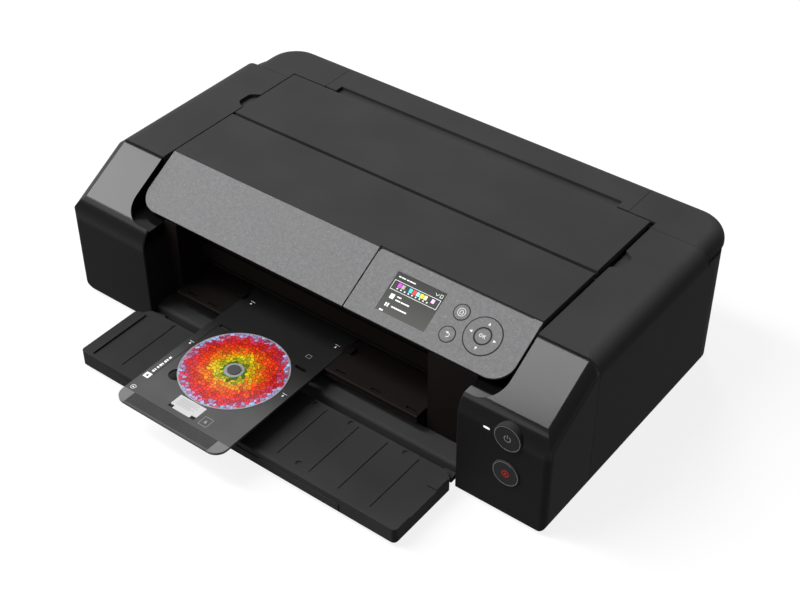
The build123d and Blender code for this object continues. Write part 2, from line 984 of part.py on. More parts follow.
for clip_x0, clip_x1 in (
    (channel_left - clip_arm, channel_left + 2.5),
    (channel_right - 2.5, channel_right + clip_arm),
):
    clip = block(clip_x0, clip_x1, 56, 66, tray_top + 0.4, tray_top + 2.4)
    foot_x0 = clip_x0 if clip_x0 < channel_left else channel_right + 0.5
    foot_x1 = channel_left - 0.5 if clip_x0 < channel_left else clip_x1
    disc_guide += clip + block(foot_x0, foot_x1, 56, 66, guide_top - 1, tray_top + 1)
for post_x in (-186.0, -130.0, 60.0, 143.0):
    disc_guide += block(post_x, post_x + 2.5, 40, 90, floor_top, guide_floor - 2)
save("disc_guide", disc_guide)

# ---------------------------------------------------------------- disc tray, hub, clip and disc
tray_front = -tray_reach
tray_rear = tray_front + tray_length
disc_x = (tray_left + tray_right) / 2
disc_d = tray_front + disc_centre_back
disc_tray = upright(
    [
        (tray_left, tray_front, tray_corner_radius),
        (tray_right, tray_front, tray_corner_radius),
        (tray_right, tray_rear, 3),
        (tray_left, tray_rear, 3),
    ],
    tray_seat,
    tray_top,
)
recess_radius = disc_radius + disc_recess_gap
disc_floor = tray_top - disc_thickness - 0.1
disc_tray -= block(
    disc_x - 63, disc_x + 63, disc_d - 58, disc_d + 46, tray_top - 0.4, tray_top + 1
)
disc_tray -= rod_z(disc_x, disc_d, disc_floor, tray_top + 1, recess_radius)
disc_tray -= rod_z(disc_x - 43.5, disc_d - 41.4, tray_seat - 1, tray_top + 1, 9)
for slot_x in (disc_x - 61, disc_x + 46.5):
    disc_tray -= block(
        slot_x, slot_x + 14.5, disc_d + 43, disc_d + 47, tray_seat - 1, tray_top + 1
    )
grip_lines = 9
for line in range(grip_lines):
    groove_d = tray_front + 2.6 + line * 1.65
    disc_tray -= block(
        tray_left + 15.5, tray_right - 15.5, groove_d, groove_d + 0.8, tray_top - 0.6, tray_top + 1
    )
clip_width = 36.0
clip_length = 20.0
clip_d = tray_front + 24
clip_x = disc_x
disc_tray -= block(
    clip_x - clip_width / 2 - 0.2,
    clip_x + clip_width / 2 + 0.2,
    clip_d - 0.2,
    clip_d + clip_length + 0.2,
    tray_top - 1.2,
    tray_top + 1,
)
hub_seat = 13.0
disc_tray -= rod_z(disc_x, disc_d, tray_seat - 1, tray_top, hub_seat)
save("disc_tray", disc_tray)

tray_clip = block(
    clip_x - clip_width / 2,
    clip_x + clip_width / 2,
    clip_d,
    clip_d + clip_length,
    tray_top - 1.2,
    tray_top - 0.1,
)
for notch_x in (clip_x - clip_width / 2 - 1, clip_x + clip_width / 2 - 6):
    tray_clip -= block(notch_x, notch_x + 7, clip_d - 1, clip_d + 4, tray_seat, tray_top + 1)
save("tray_clip", tray_clip)

disc_hub = rod_z(disc_x, disc_d, tray_seat + 0.1, disc_floor, hub_seat - 0.02)
disc_hub += rod_z(disc_x, disc_d, disc_floor - 0.2, tray_top + 0.9, disc_hole_radius - 0.1)
save("disc_hub", disc_hub)

disc = rod_z(disc_x, disc_d, disc_floor + 0.05, disc_floor + 0.05 + disc_thickness, disc_radius)
disc -= rod_z(disc_x, disc_d, tray_seat, tray_top + 2, disc_hole_radius)
save("printable_disc", disc)

# ---------------------------------------------------------------- output tray and extension
out_front = -out_reach
out_plan = [
    (out_left, out_front, 5),
    (out_right, out_front, 5),
    (out_right, -8, 3),
    (out_right - 10, -1.0, 2),
    (out_left + 14, -1.0, 2),
    (out_left, -16, 3),
]
output_tray = upright(out_plan, out_bottom, out_top)
hinge_left = left_reach + 1.5
hinge_right = right_reach - 1.5
hinge_arms = ((hinge_left, hinge_left + 14), (hinge_right - 14, hinge_right))
output_tray -= block(
    out_left + 3, out_right - 3, out_front + 3, -4, out_bottom - 1, out_top - out_skin
)
output_tray -= block(
    ext_left - 0.6,
    ext_right + 0.6,
    out_front - 1,
    out_front + 4,
    out_bottom + 2.0,
    out_top - out_skin - 2.0,
)
for rail_x in (ext_left - 3.0, ext_right + 0.6):
    output_tray += block(rail_x, rail_x + 2.4, out_front + 2, -5, out_bottom, out_top - 1)
    shelf_x0 = rail_x if rail_x < 0 else rail_x - 3
    output_tray += block(shelf_x0, shelf_x0 + 5.4, out_front + 3.2, -5, out_bottom, out_bottom + 1.6)
rim = upright(out_plan, out_top - 1, out_top + out_rim_rise)
rim -= block(out_left + 14, out_right - 12, out_front + 5, 10, out_top - 2, out_top + 4)
rim -= block(out_left - 1, out_right + 1, -12, 10, out_top - 2, out_top + 4)
rim -= block(out_right - 12, out_right + 1, -74, -30, out_top - 4, out_top + 4)
output_tray += rim
for groove_x in (-168.0, -25.0, 53.0, 95.0, 132.5, 172.5):
    output_tray -= block(groove_x, groove_x + 1.8, out_front + 12, -6, out_top - 0.8, out_top + 1)
boss_places = ((-166.0, -7.0), (38.0, -7.0), (86.0, -6.5), (156.5, -6.5), (80.0, -83.0))
for boss_x, seat_d in boss_places:
    output_tray -= rod_z(boss_x, seat_d, out_top - 1.2, out_top + 1, 3.4)
for arm_x0, arm_x1 in hinge_arms:
    arm = across(
        [
            (-3, out_pin_z - 3.2, 0),
            (out_pin_depth + 3.2, out_pin_z - 3.2, 3),
            (out_pin_depth + 3.2, out_pin_z + 3.2, 3),
            (-3, out_pin_z + 3.2, 0),
        ],
        arm_x0,
        arm_x1,
    )
    output_tray += arm
output_tray += rod_x(left_reach - 3, hinge_left + 2, out_pin_depth, out_pin_z, out_pin_radius)
output_tray += rod_x(hinge_right - 2, right_reach + 3, out_pin_depth, out_pin_z, out_pin_radius)
save("output_tray", output_tray)

ext_bottom = out_bottom + 3.2
tray_extension = block(
    ext_left, ext_right, out_front + 2.0, out_front + ext_length, ext_bottom, ext_bottom + ext_thickness
)
tray_extension += block(
    ext_left, ext_right, out_front - 0.8, out_front + 3, out_bottom + 2.6, out_top - out_skin - 2.6
)
for hollow in pocket_rows(
    ext_left + 5,
    ext_right - 5,
    out_front + 8,
    out_front + ext_length - 5,
    ext_bottom - 1,
    ext_bottom + ext_thickness - 1.6,
    5,
    1,
    3,
):
    tray_extension -= hollow
save("tray_extension", tray_extension)

# ---------------------------------------------------------------- frames, rail, platen
frame_outer_right = frame_right + frame_plate
frame_inner_left = frame_left + frame_plate
gear_x = frame_left - 2.0 - gear_width
gear_reach = gear_module * (feed_teeth + idler_teeth) / 2
eject_reach = gear_module * (eject_teeth + idler_teeth) / 2
span_d = feed_depth - eject_depth
span_z = feed_z - eject_z
span = hypot(span_d, span_z)
lean = atan2(span_z, span_d)
corner = acos((eject_reach**2 + span**2 - gear_reach**2) / (2 * eject_reach * span))
idler_depth = eject_depth + eject_reach * cos(lean + corner)
idler_z = eject_z + eject_reach * sin(lean + corner)
pinion_reach = gear_module * (feed_teeth + pinion_teeth) / 2
pinion_depth = feed_depth + pinion_reach * cos(radians(pinion_angle))
pinion_z = feed_z + pinion_reach * sin(radians(pinion_angle))
pinion_shaft_radius = 2.5


def frame_plate_at(x):
    """One pressed steel side plate, with a foot on the base pan."""
    plate = across(
        [
            (92, floor_top, 0),
            (92, 100, 0),
            (150, 140, 12),
            (215, 140, 0),
            (240, 100, 0),
            (240, floor_top, 0),
        ],
        x,
        x + frame_plate,
    )
    plate -= rod_x(x - 1, x + 3, feed_depth, feed_z, feed_shaft_radius + running)
    plate -= rod_x(x - 1, x + 3, eject_depth, eject_z, eject_shaft_radius + running)
    return plate


left_frame = frame_plate_at(frame_left)
left_frame -= rod_x(
    frame_left - 1, frame_left + 3, pinion_depth, pinion_z, pinion_shaft_radius + 0.5
)
left_frame += rod_x(
    gear_x - 1, frame_left + 1, idler_depth, idler_z, idler_pin_radius - running
)
right_frame = frame_plate_at(frame_right)
save("side_frames", left_frame, right_frame)

rail = across(
    [
        (rail_depth, rail_bottom, 0),
        (rail_depth + 17, rail_bottom, 0),
        (rail_depth + 17, rail_bottom + rail_plate, 0),
        (rail_depth + rail_plate, rail_bottom + rail_plate, 0),
        (rail_depth + rail_plate, rail_top - rail_plate, 0),
        (rail_depth + 11, rail_top - rail_plate, 0),
        (rail_depth + 11, rail_top, 0),
        (rail_depth, rail_top, 0),
    ],
    frame_inner_left,
    frame_right,
)
motor_shaft_radius = 2.5
rail -= rod_y(drive_x, rail_depth - 1, rail_depth + 3, belt_z, motor_shaft_radius + 0.5)
rail += rod_y(idler_x, belt_front - 1.5, rail_depth + 1, belt_z, 2.5)
for window in range(4):
    window_x = -190 + window * 100
    rail -= block(
        window_x, window_x + 60, rail_depth - 1, rail_depth + 3, rail_bottom + 8, rail_bottom + 22
    )
save("carriage_rail", rail)

platen_left = path_centre - sheet_width / 2 - 6
platen_right = path_centre + sheet_width / 2 + 4
platen = block(platen_left, platen_right, 114, 178, 32, 35)
platen += block(platen_left, platen_right, 114, 116.5, floor_top, 34)
platen += block(platen_left, platen_right, 175.5, 178, floor_top, 34)
rib_count = 12
for rib in range(rib_count):
    rib_x = platen_left + 8 + rib * (platen_right - platen_left - 18) / (rib_count - 1)
    platen += across(
        [(116, 34, 0), (116, 39, 0), (122, 41, 0), (172, 41, 0), (176, 39, 0), (176, 34, 0)],
        rib_x,
        rib_x + 2,
    )
save("platen", platen)

# ---------------------------------------------------------------- rollers and gears


def gear(teeth, bore, d, z, phase):
    """A spur gear on an axis across the machine, with one tooth centred at angle phase."""
    pitch_radius = gear_module * teeth / 2
    tip = pitch_radius + 0.9 * gear_module
    root = pitch_radius - 1.2 * gear_module
    tip_half = 0.33 * gear_module / tip
    root_half = 1.08 * gear_module / root
    points = []
    for tooth in range(teeth):
        centre = phase + tooth * 2 * pi / teeth
        for radius, offset in (
            (root, -root_half),
            (tip, -tip_half),
            (tip, tip_half),
            (root, root_half),
        ):
            angle = centre + offset
            points.append((radius * cos(angle), radius * sin(angle)))
    gear_plane = Plane(origin=(gear_x, front + d, z), x_dir=(0, 1, 0), z_dir=(1, 0, 0))
    blank = extrude(gear_plane * make_face(Polyline(*points, close=True)), gear_width)
    blank -= rod_x(gear_x - 1, gear_x + gear_width + 1, d, z, bore)
    return blank


def meshing_phase(driver_teeth, driver_phase, driver_at, teeth, at):
    """Phase of a gear that meshes with its driver."""
    direction = atan2(at[1] - driver_at[1], at[0] - driver_at[0])
    place = (direction - driver_phase) * driver_teeth / (2 * pi)
    return direction + pi - (0.5 - place) * 2 * pi / teeth


feed_at = (feed_depth, feed_z)
idler_at = (idler_depth, idler_z)
eject_at = (eject_depth, eject_z)
pinion_at = (pinion_depth, pinion_z)
feed_phase = 0.0
idler_phase = meshing_phase(feed_teeth, feed_phase, feed_at, idler_teeth, idler_at)
eject_phase = meshing_phase(idler_teeth, idler_phase, idler_at, eject_teeth, eject_at)
pinion_phase = meshing_phase(feed_teeth, feed_phase, feed_at, pinion_teeth, pinion_at)

fixed = 0.02
save("feed_gear", gear(feed_teeth, feed_shaft_radius + fixed, *feed_at, feed_phase))
save("eject_gear", gear(eject_teeth, eject_shaft_radius + fixed, *eject_at, eject_phase))
save("idler_gear", gear(idler_teeth, idler_pin_radius, *idler_at, idler_phase))
pinion = gear(pinion_teeth, pinion_shaft_radius - 0.5, *pinion_at, pinion_phase)
pinion += rod_x(
    gear_x - 1, frame_inner_left + 14, pinion_depth, pinion_z, pinion_shaft_radius
)
save("motor_pinion", pinion)

roller_left = path_centre - sheet_width / 2
roller_right = path_centre + sheet_width / 2
shaft_left = gear_x - 1.0
shaft_right = frame_outer_right + 3
feed_roller = rod_x(shaft_left, shaft_right, feed_depth, feed_z, feed_shaft_radius)
feed_roller += rod_x(roller_left, roller_right, feed_depth, feed_z, feed_radius)
save("feed_roller", feed_roller)

eject_roller = rod_x(shaft_left, shaft_right, eject_depth, eject_z, eject_shaft_radius)
tyre_count = 4
tyre_width = 12.0
for tyre in range(tyre_count):
    tyre_x = roller_left + 8 + tyre * (sheet_width - 16 - tyre_width) / (tyre_count - 1)
    eject_roller += rod_x(tyre_x, tyre_x + tyre_width, eject_depth, eject_z, eject_radius)
save("eject_roller", eject_roller)

pinch_z = tray_top + roller_gap + pinch_radius
pinch_sets = 4
set_pitch = sheet_width / pinch_sets
holders, pinches = [], []
for index in range(pinch_sets):
    set_x = roller_left + (index + 0.5) * set_pitch
    roller = rod_x(set_x - 29, set_x + 29, feed_depth, pinch_z, pinch_radius)
    roller -= block(set_x - 3.4, set_x + 3.4, feed_depth - 6, feed_depth + 6, pinch_z - 6, pinch_z + 6)
    roller += rod_x(set_x - 4, set_x + 4, feed_depth, pinch_z, pinch_shaft_radius)
    pinches.append(roller)
    arm = block(set_x - 3, set_x + 3, feed_depth - 6, feed_depth + 6, pinch_z - 3, rail_bottom)
    arm -= rod_x(set_x - 4, set_x + 4, feed_depth, pinch_z, pinch_shaft_radius + running)
    holders.append(arm)
save("pinch_rollers", *pinches)
save("pinch_holders", *holders)

# ---------------------------------------------------------------- motors, belt and pulleys
feed_motor = rod_x(frame_inner_left, frame_inner_left + 36, pinion_depth, pinion_z, 17)
feed_motor -= rod_x(
    frame_inner_left - 1, frame_inner_left + 15, pinion_depth, pinion_z, pinion_shaft_radius + running
)
save("feed_motor", feed_motor)

motor_front = rail_depth + rail_plate
carriage_motor = rod_y(drive_x, motor_front, motor_front + 32, belt_z, 16)
carriage_motor -= rod_y(
    drive_x, motor_front - 1, motor_front + 15, belt_z, motor_shaft_radius + running
)
save("carriage_motor", carriage_motor)

belt_inner = belt_radius - belt_thickness / 2
belt_outer = belt_radius + belt_thickness / 2
belt_loop = along(
    rectangle(
        idler_x - belt_outer, drive_x + belt_outer, belt_z - belt_outer, belt_z + belt_outer,
        belt_outer - 0.001,
    ),
    belt_front,
    belt_front + belt_width,
)
belt_loop -= along(
    rectangle(
        idler_x - belt_inner, drive_x + belt_inner, belt_z - belt_inner, belt_z + belt_inner,
        belt_inner - 0.001,
    ),
    belt_front - 1,
    belt_front + belt_width + 1,
)
save("timing_belt", belt_loop)


def pulley(x):
    """A belt pulley with a flange behind the belt."""
    wheel = rod_y(x, belt_front - 0.6, belt_front + belt_width + 1.2, belt_z, belt_inner - 0.3)
    flange_d = belt_front + belt_width + 0.2
    return wheel + rod_y(x, flange_d, flange_d + 1.0, belt_z, belt_outer + 0.8)


drive_pulley = pulley(drive_x)
drive_pulley += rod_y(drive_x, belt_front, motor_front + 14, belt_z, motor_shaft_radius)
save("drive_pulley", drive_pulley)
idler_pulley = pulley(idler_x)
idler_pulley -= rod_y(idler_x, belt_front - 3, rail_depth, belt_z, 2.5 + running)
save("idler_pulley", idler_pulley)

# ---------------------------------------------------------------- carriage, head and ink tanks
car_left = carriage_home - carriage_width / 2
car_right = carriage_home + carriage_width / 2
carriage = block(car_left, car_right, carriage_front, carriage_back, carriage_floor, carriage_rim)
carriage -= block(
    car_left + carriage_wall,
    car_right - carriage_wall,
    carriage_front + carriage_wall,
    carriage_back - carriage_wall,
    carriage_floor + 3,
    carriage_rim + 1,
)
carriage -= block(
    car_left + 8,
    car_right - 8,
    carriage_front - 1,
    carriage_front + carriage_wall + 1,
    carriage_rim - 26,
    carriage_rim + 1,
)
bay = carriage_width - 2 * carriage_wall
tank_pitch = bay / tank_count
for divider in range(1, tank_count):
    fin_x = car_left + carriage_wall + divider * tank_pitch
    carriage += block(
        fin_x - 0.4,
        fin_x + 0.4,
        carriage_back - carriage_wall - 5,
        carriage_back - carriage_wall + 1,
        carriage_floor + 2,
        carriage_rim - 2,
    )
hook_top = rail_top + 4.3
hook_lip = rail_depth + 11 + 0.4
for hook_x in (car_left + 10, car_right - 30):
    carriage += block(
        hook_x, hook_x + 20, carriage_back - carriage_wall, carriage_back, carriage_rim - 5, hook_top
    )
    carriage += block(
        hook_x, hook_x + 20, carriage_back - 1, hook_lip + 2.2, rail_top + 0.3, hook_top
    )
    carriage += block(hook_x, hook_x + 20, hook_lip, hook_lip + 2.2, rail_top - 4, hook_top)
jaw = 1.6
low_run = belt_z - belt_radius
for jaw_z in (low_run - belt_thickness / 2 - 0.3 - jaw, low_run + belt_thickness / 2 + 0.3):
    carriage += block(
        carriage_home - 12,
        carriage_home + 12,
        carriage_back - 1,
        belt_front + belt_width,
        jaw_z,
        jaw_z + jaw,
    )
save("carriage", carriage)

head_mid = (carriage_front + carriage_back) / 2
head_left = carriage_home - head_width / 2
print_head = block(head_left, head_left + head_width, head_mid - 16, head_mid + 16, 49.5, carriage_floor)
print_head += block(
    head_left + 4, head_left + head_width - 4, head_mid - 12, head_mid + 12, head_bottom, 50
)
save("print_head", print_head)

tanks = []
tank_front = carriage_front + carriage_wall + 0.4
tank_back = carriage_back - carriage_wall - 5.4
for index in range(tank_count):
    tank_x = car_left + carriage_wall + index * tank_pitch + tank_gap
    tank_end = tank_x + tank_pitch - 2 * tank_gap
    tank = across(
        [
            (tank_front, carriage_floor + 3.3, 0),
            (tank_back, carriage_floor + 3.3, 0),
            (tank_back, carriage_rim - 6, 0),
            (tank_front + 8, carriage_rim - 2, 0),
            (tank_front, carriage_rim - 12, 0),
        ],
        tank_x,
        tank_end,
    )
    tanks.append(tank)
save("ink_tanks", *tanks)

purge_left = platen_right + 1
purge_unit = block(purge_left, carriage_home + 40, 118, 170, floor_top, 40)
purge_unit += block(
    carriage_home - 20, carriage_home + 20, head_mid - 17, head_mid + 17, 38, head_bottom - 1.8
)
lip = block(
    carriage_home - 18, carriage_home + 18, head_mid - 14, head_mid + 14, 44, head_bottom - 0.3
)
lip -= block(
    carriage_home - 16, carriage_home + 16, head_mid - 12, head_mid + 12, 45.9, head_bottom + 1
)
purge_unit += lip
purge_unit += block(
    carriage_home + 30, carriage_home + 32, head_mid - 12, head_mid + 12, 39, 46
)
save("purge_unit", purge_unit)

# ---------------------------------------------------------------- rear tray
foot_d, foot_z = chute_foot
head_d, head_z = chute_head
chute_run = hypot(head_d - foot_d, head_z - foot_z)
up_d = (head_d - foot_d) / chute_run
up_z = (head_z - foot_z) / chute_run
chute_left = path_centre - sheet_width / 2
chute_right = path_centre + sheet_width / 2
cheek_low = chute_left - chute_plate
cheek_high = chute_right + chute_plate
below = chute_plate
chute = across(
    [
        (foot_d, foot_z, 0),
        (head_d, head_z, 0),
        (head_d + below * up_z, head_z - below * up_d, 0),
        (foot_d + below * up_z, foot_z - below * up_d, 0),
    ],
    chute_left - 1,
    chute_right + 1,
)
ramp_top = (345.0, 110.0)
ramp_low = (216.0, 50.5)
chute += across(
    [
        (ramp_low[0], ramp_low[1], 0),
        (ramp_top[0], ramp_top[1], 0),
        (ramp_top[0], ramp_top[1] - 3.5, 0),
        (ramp_low[0], ramp_low[1] - 3.5, 0),
    ],
    chute_left - 1,
    chute_right + 1,
)
wall_front = 199.0
chute_top = 158.0
chute += block(chute_left - 1, chute_right + 1, wall_front, wall_front + 2.5, 64, chute_top)
pickup_d = foot_d + pickup_up_chute * up_d - (pickup_radius + 0.4) * up_z
pickup_z = foot_z + pickup_up_chute * up_z + (pickup_radius + 0.4) * up_d
pickup_shaft = 3.0
for cheek_x in (cheek_low, chute_right):
    cheek = across(
        [
            (wall_front, 60, 0),
            (wall_front, chute_top, 0),
            (302, chute_top, 0),
            (345, 122, 0),
            (345, 106.5, 0),
            (216, 47.0, 0),
            (204, 49.0, 0),
        ],
        cheek_x,
        cheek_x + chute_plate,
    )
    cheek -= rod_x(cheek_x - 1, cheek_x + 4, pickup_d, pickup_z, pickup_shaft + running)
    chute += cheek
for leg_x in (cheek_low, chute_right):
    chute += block(leg_x, leg_x + chute_plate, wall_front + 7, 216, floor_top, 50)
deck_z = 150.0
for deck_x0, deck_x1 in (
    (-slab_half_width, cheek_low + 1),
    (cheek_high - 1, slab_half_width),
):
    chute += block(deck_x0, deck_x1, wall_front, 300, deck_z, deck_z + 2.5)
save("paper_chute", chute)

chute_plane = Plane(
    origin=(0, front + foot_d, foot_z), x_dir=(1, 0, 0), z_dir=(0, -up_z, up_d)
)


def chute_block(x0, x1, v0, v1, w0, w1):
    """A box on the rear tray's floor: v runs up the tray, w out from its face."""
    middle = chute_plane * Pos((x0 + x1) / 2, (v0 + v1) / 2, (w0 + w1) / 2)
    return middle * Box(x1 - x0, v1 - v0, w1 - w0)


guide_rest = 9.0
for name, side, fence_x in (
    ("left_edge_guide", 1, chute_left + guide_rest),
    ("right_edge_guide", -1, chute_right - guide_rest),
):
    fence = chute_block(
        min(fence_x, fence_x - side * 3),
        max(fence_x, fence_x - side * 3),
        guide_low,
        guide_high,
        seat_gap,
        fence_height,
    )
    far_x = fence_x + side * 14
    fence += chute_block(
        min(fence_x - side, far_x), max(fence_x - side, far_x), guide_low + 8, guide_high - 8,
        seat_gap, 2.0,
    )
    save(name, fence)

pickup = rod_x(
    cheek_low - 2, cheek_high + 2, pickup_d, pickup_z, pickup_shaft
)
pickup += rod_x(path_centre - 17, path_centre + 17, pickup_d, pickup_z, pickup_radius)
save("pickup_roller", pickup)

# ---------------------------------------------------------------- manual feed cover
inside_back = body_depth - wall
shell_view = [
    (manual_front, housing_top - wall, 0),
    (manual_front, housing_top, 0),
    (body_depth, housing_top, manual_rear_radius),
    (body_depth, manual_bottom, 0),
    (inside_back, manual_bottom, 0),
    (inside_back, housing_top - wall, manual_rear_radius - wall),
]
manual_cover = across(shell_view, manual_left, manual_right)
recess_depth = 4.0
manual_cover += block(
    manual_left + 14, manual_right - 12, manual_front, manual_front + 13,
    housing_top - recess_depth - wall, housing_top - 1,
)
manual_cover -= block(
    manual_left + 16, manual_right - 14, manual_front - 1, manual_front + 11,
    housing_top - recess_depth, housing_top + 1,
)
manual_cover += rod_x(manual_left, manual_right, barrel_depth, manual_bottom, manual_barrel)
manual_cover += rod_x(
    manual_left - wall, manual_right + wall, barrel_depth, manual_bottom, cover_pin_radius
)
for rib_x in (manual_left + 1, -70, 80, manual_right - 3.5):
    manual_cover += block(rib_x, rib_x + 2.5, inside_back - 5, inside_back + 1, 74, 140)
save("manual_feed_cover", manual_cover)

# ---------------------------------------------------------------- power supply, boards and ports
supply = block(-256, -186, 246, 340, floor_top, 62)
for slot in range(6):
    slot_d = 262 + slot * 11
    supply -= block(-240, -202, slot_d, slot_d + 4, 60, 63)
save("power_supply", supply)

inlet = block(inlet_x - 13, inlet_x + 13, 340, body_depth - 0.6, 23, 41)
inlet -= block(inlet_x - 10, inlet_x + 10, body_depth - 12, body_depth + 1, 27, 37)
for pin_x in (inlet_x - 4.3, inlet_x + 4.3):
    inlet += rod_y(pin_x, body_depth - 14, body_depth - 3, 32, 1.2)
save("power_inlet", inlet)

main_board = block(186, 300, 252, 345, 13, 14.6)
for part_x, part_d, part_w, part_l, part_h in (
    (206, 270, 24, 24, 3),
    (242, 268, 14, 20, 3),
    (264, 300, 20, 16, 9),
    (200, 312, 10, 22, 6),
):
    main_board += block(part_x, part_x + part_w, part_d, part_d + part_l, 14.5, 14.6 + part_h)
for post_x in (190, 294):
    for post_d in (256, 340):
        main_board += block(post_x - 2, post_x + 2, post_d - 2, post_d + 2, floor_top, 13.2)
save("main_board", main_board)

port_block = block(ports_x - 20, ports_x + 20, 340, body_depth - 0.6, 19, 35)
port_block -= block(ports_x - 16, ports_x - 4, body_depth - 14, body_depth + 1, 21.5, 32.5)
port_block -= block(ports_x + 1, ports_x + 17, body_depth - 14, body_depth + 1, 21, 33)
port_block -= block(ports_x - 21, ports_x + 21, 339, 345.3, 10, 30)
port_block += block(ports_x - 18, ports_x + 18, 341, 352, 14.6, 20)
save("port_block", port_block)

save("waste_ink_pad", block(-110, 150, 215, 335, floor_top, 30))

screws = []
for screw_x, screw_z in ((-250, 140), (250, 140), (-250, 75), (250, 75)):
    head = rod_y(screw_x, body_depth, body_depth + 1.2, screw_z, 3)
    screws.append(head)
save("case_screws", *screws)
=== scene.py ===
from math import atan2, cos, radians, sin

import bmesh
import bpy
from mathutils import Matrix, Vector


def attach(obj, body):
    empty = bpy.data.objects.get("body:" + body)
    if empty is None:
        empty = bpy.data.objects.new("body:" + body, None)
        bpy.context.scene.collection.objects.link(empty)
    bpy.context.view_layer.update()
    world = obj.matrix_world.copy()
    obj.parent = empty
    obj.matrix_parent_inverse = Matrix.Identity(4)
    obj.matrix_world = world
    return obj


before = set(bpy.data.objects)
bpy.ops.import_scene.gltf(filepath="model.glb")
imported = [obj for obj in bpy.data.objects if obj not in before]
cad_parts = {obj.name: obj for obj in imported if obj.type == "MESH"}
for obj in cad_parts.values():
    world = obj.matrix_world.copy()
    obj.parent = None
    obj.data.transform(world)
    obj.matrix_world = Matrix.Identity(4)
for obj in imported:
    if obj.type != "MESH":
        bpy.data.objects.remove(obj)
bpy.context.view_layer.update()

# The disc label printer's looks: finishes for its moulded, pressed and turned pieces, the marks
# that are printed on them, the signs on its screen, and the room that it is photographed in.
# Places are written in millimetres, as on the maker's drawing, and turned to metres here.
MM = 0.001
# The housings' fronts, the height of their nose, and half the machine's width.
FRONT = -112.0
NOSE_HEIGHT = 116.0
HALF_WIDTH = 319.5
# The crease where the flat top turns down into the angled front, and that front's angle.
CREASE = 95.9
COVER_TOP = 171.6
SLOPE = radians(30)
# The disc tray's upper face, and the disc's middle and radius.
TRAY_TOP = 44.5
DISC_X = -47.5
DISC_D = -36.6
DISC_RADIUS = 60.0
# How far the pressed keys stand off the panel, the round buttons off the front, and how far
# the display's signs lie under its window.
KEY_PROUD = 0.35
POWER_PROUD = 1.5
STOP_PROUD = 1.2
DISPLAY_SUNK = -0.4


# ---------------------------------------------------------------- places on the machine
def on_slope(x, v, out=0.0):
    """A place on the angled front: v runs down it from the crease, out stands off its face."""
    d = CREASE - v * cos(SLOPE) - out * sin(SLOPE)
    z = COVER_TOP - v * sin(SLOPE) + out * cos(SLOPE)
    return Vector((x, FRONT + d, z)) * MM


def on_front(x, z, out=0.0, face=0.0):
    """A place on an upright face that looks to the front."""
    return Vector((x, FRONT + face - out, z)) * MM


def on_level(x, d, out=0.0, level=TRAY_TOP):
    """A place on a level face, at depth d behind the housings' fronts."""
    return Vector((x, FRONT + d, level + out)) * MM


# ---------------------------------------------------------------- finishes
def linear(colour):
    """An sRGB hex colour as the linear colour that a shader takes."""
    channels = [int(colour[i:i + 2], 16) / 255 for i in (1, 3, 5)]
    return [c / 12.92 if c <= 0.04045 else ((c + 0.055) / 1.055) ** 2.4 for c in channels] + [1.0]


def add(tree, kind, settings=None, links=None):
    """Adds one node with its settings, by property or socket, and its incoming links."""
    node = tree.nodes.new(kind)
    for name, value in (settings or {}).items():
        if isinstance(name, str) and hasattr(node, name):
            setattr(node, name, value)
        else:
            node.inputs[name].default_value = value
    for name, source in (links or {}).items():
        tree.links.new(source, node.inputs[name])
    return node


def blank_material(name):
    """A new material with one surface shader on its output."""
    material = bpy.data.materials.new(name)
    material.use_nodes = True
    tree = material.node_tree
    tree.nodes.clear()
    output = add(tree, "ShaderNodeOutputMaterial")
    surface = add(tree, "ShaderNodeBsdfPrincipled")
    tree.links.new(surface.outputs["BSDF"], output.inputs["Surface"])
    return material, tree, surface


def object_place(tree):
    """The place on the piece, in metres."""
    return add(tree, "ShaderNodeTexCoord").outputs["Object"]


def ramp(tree, source, stops):
    """A colour ramp with (position, colour) stops."""
    node = add(tree, "ShaderNodeValToRGB", links={"Fac": source})
    while len(node.color_ramp.elements) < len(stops):
        node.color_ramp.elements.new(1.0)
    for element, (position, colour) in zip(node.color_ramp.elements, stops):
        element.position = position
        element.color = linear(colour) if isinstance(colour, str) else (colour, colour, colour, 1)
    return node.outputs["Color"]


def moulded(name, dark, light, roughness, grain_mm, grain_depth_mm, specular=0.5):
    """A moulded plastic: fine tool texture, and a faint drift in tone where the melt flowed."""
    material, tree, surface = blank_material(name)
    place = object_place(tree)
    flow = add(tree, "ShaderNodeTexNoise", {"Scale": 1 / 0.09, "Detail": 2.0}, {"Vector": place})
    grain = add(
        tree,
        "ShaderNodeTexNoise",
        {"Scale": 1 / (grain_mm * MM), "Detail": 1.0},
        {"Vector": place},
    )
    tone = ramp(tree, flow.outputs["Fac"], [(0.35, dark), (0.65, light)])
    tree.links.new(tone, surface.inputs["Base Color"])
    uneven = add(
        tree,
        "ShaderNodeMapRange",
        {"From Min": 0.3, "From Max": 0.7, "To Min": roughness - 0.03, "To Max": roughness + 0.04},
        {"Value": grain.outputs["Fac"]},
    )
    tree.links.new(uneven.outputs["Result"], surface.inputs["Roughness"])
    bump = add(
        tree,
        "ShaderNodeBump",
        {"Strength": 0.6, "Distance": grain_depth_mm * MM},
        {"Height": grain.outputs["Fac"]},
    )
    tree.links.new(bump.outputs["Normal"], surface.inputs["Normal"])
    surface.inputs["IOR"].default_value = 1.5
    surface.inputs["Specular IOR Level"].default_value = specular
    return material


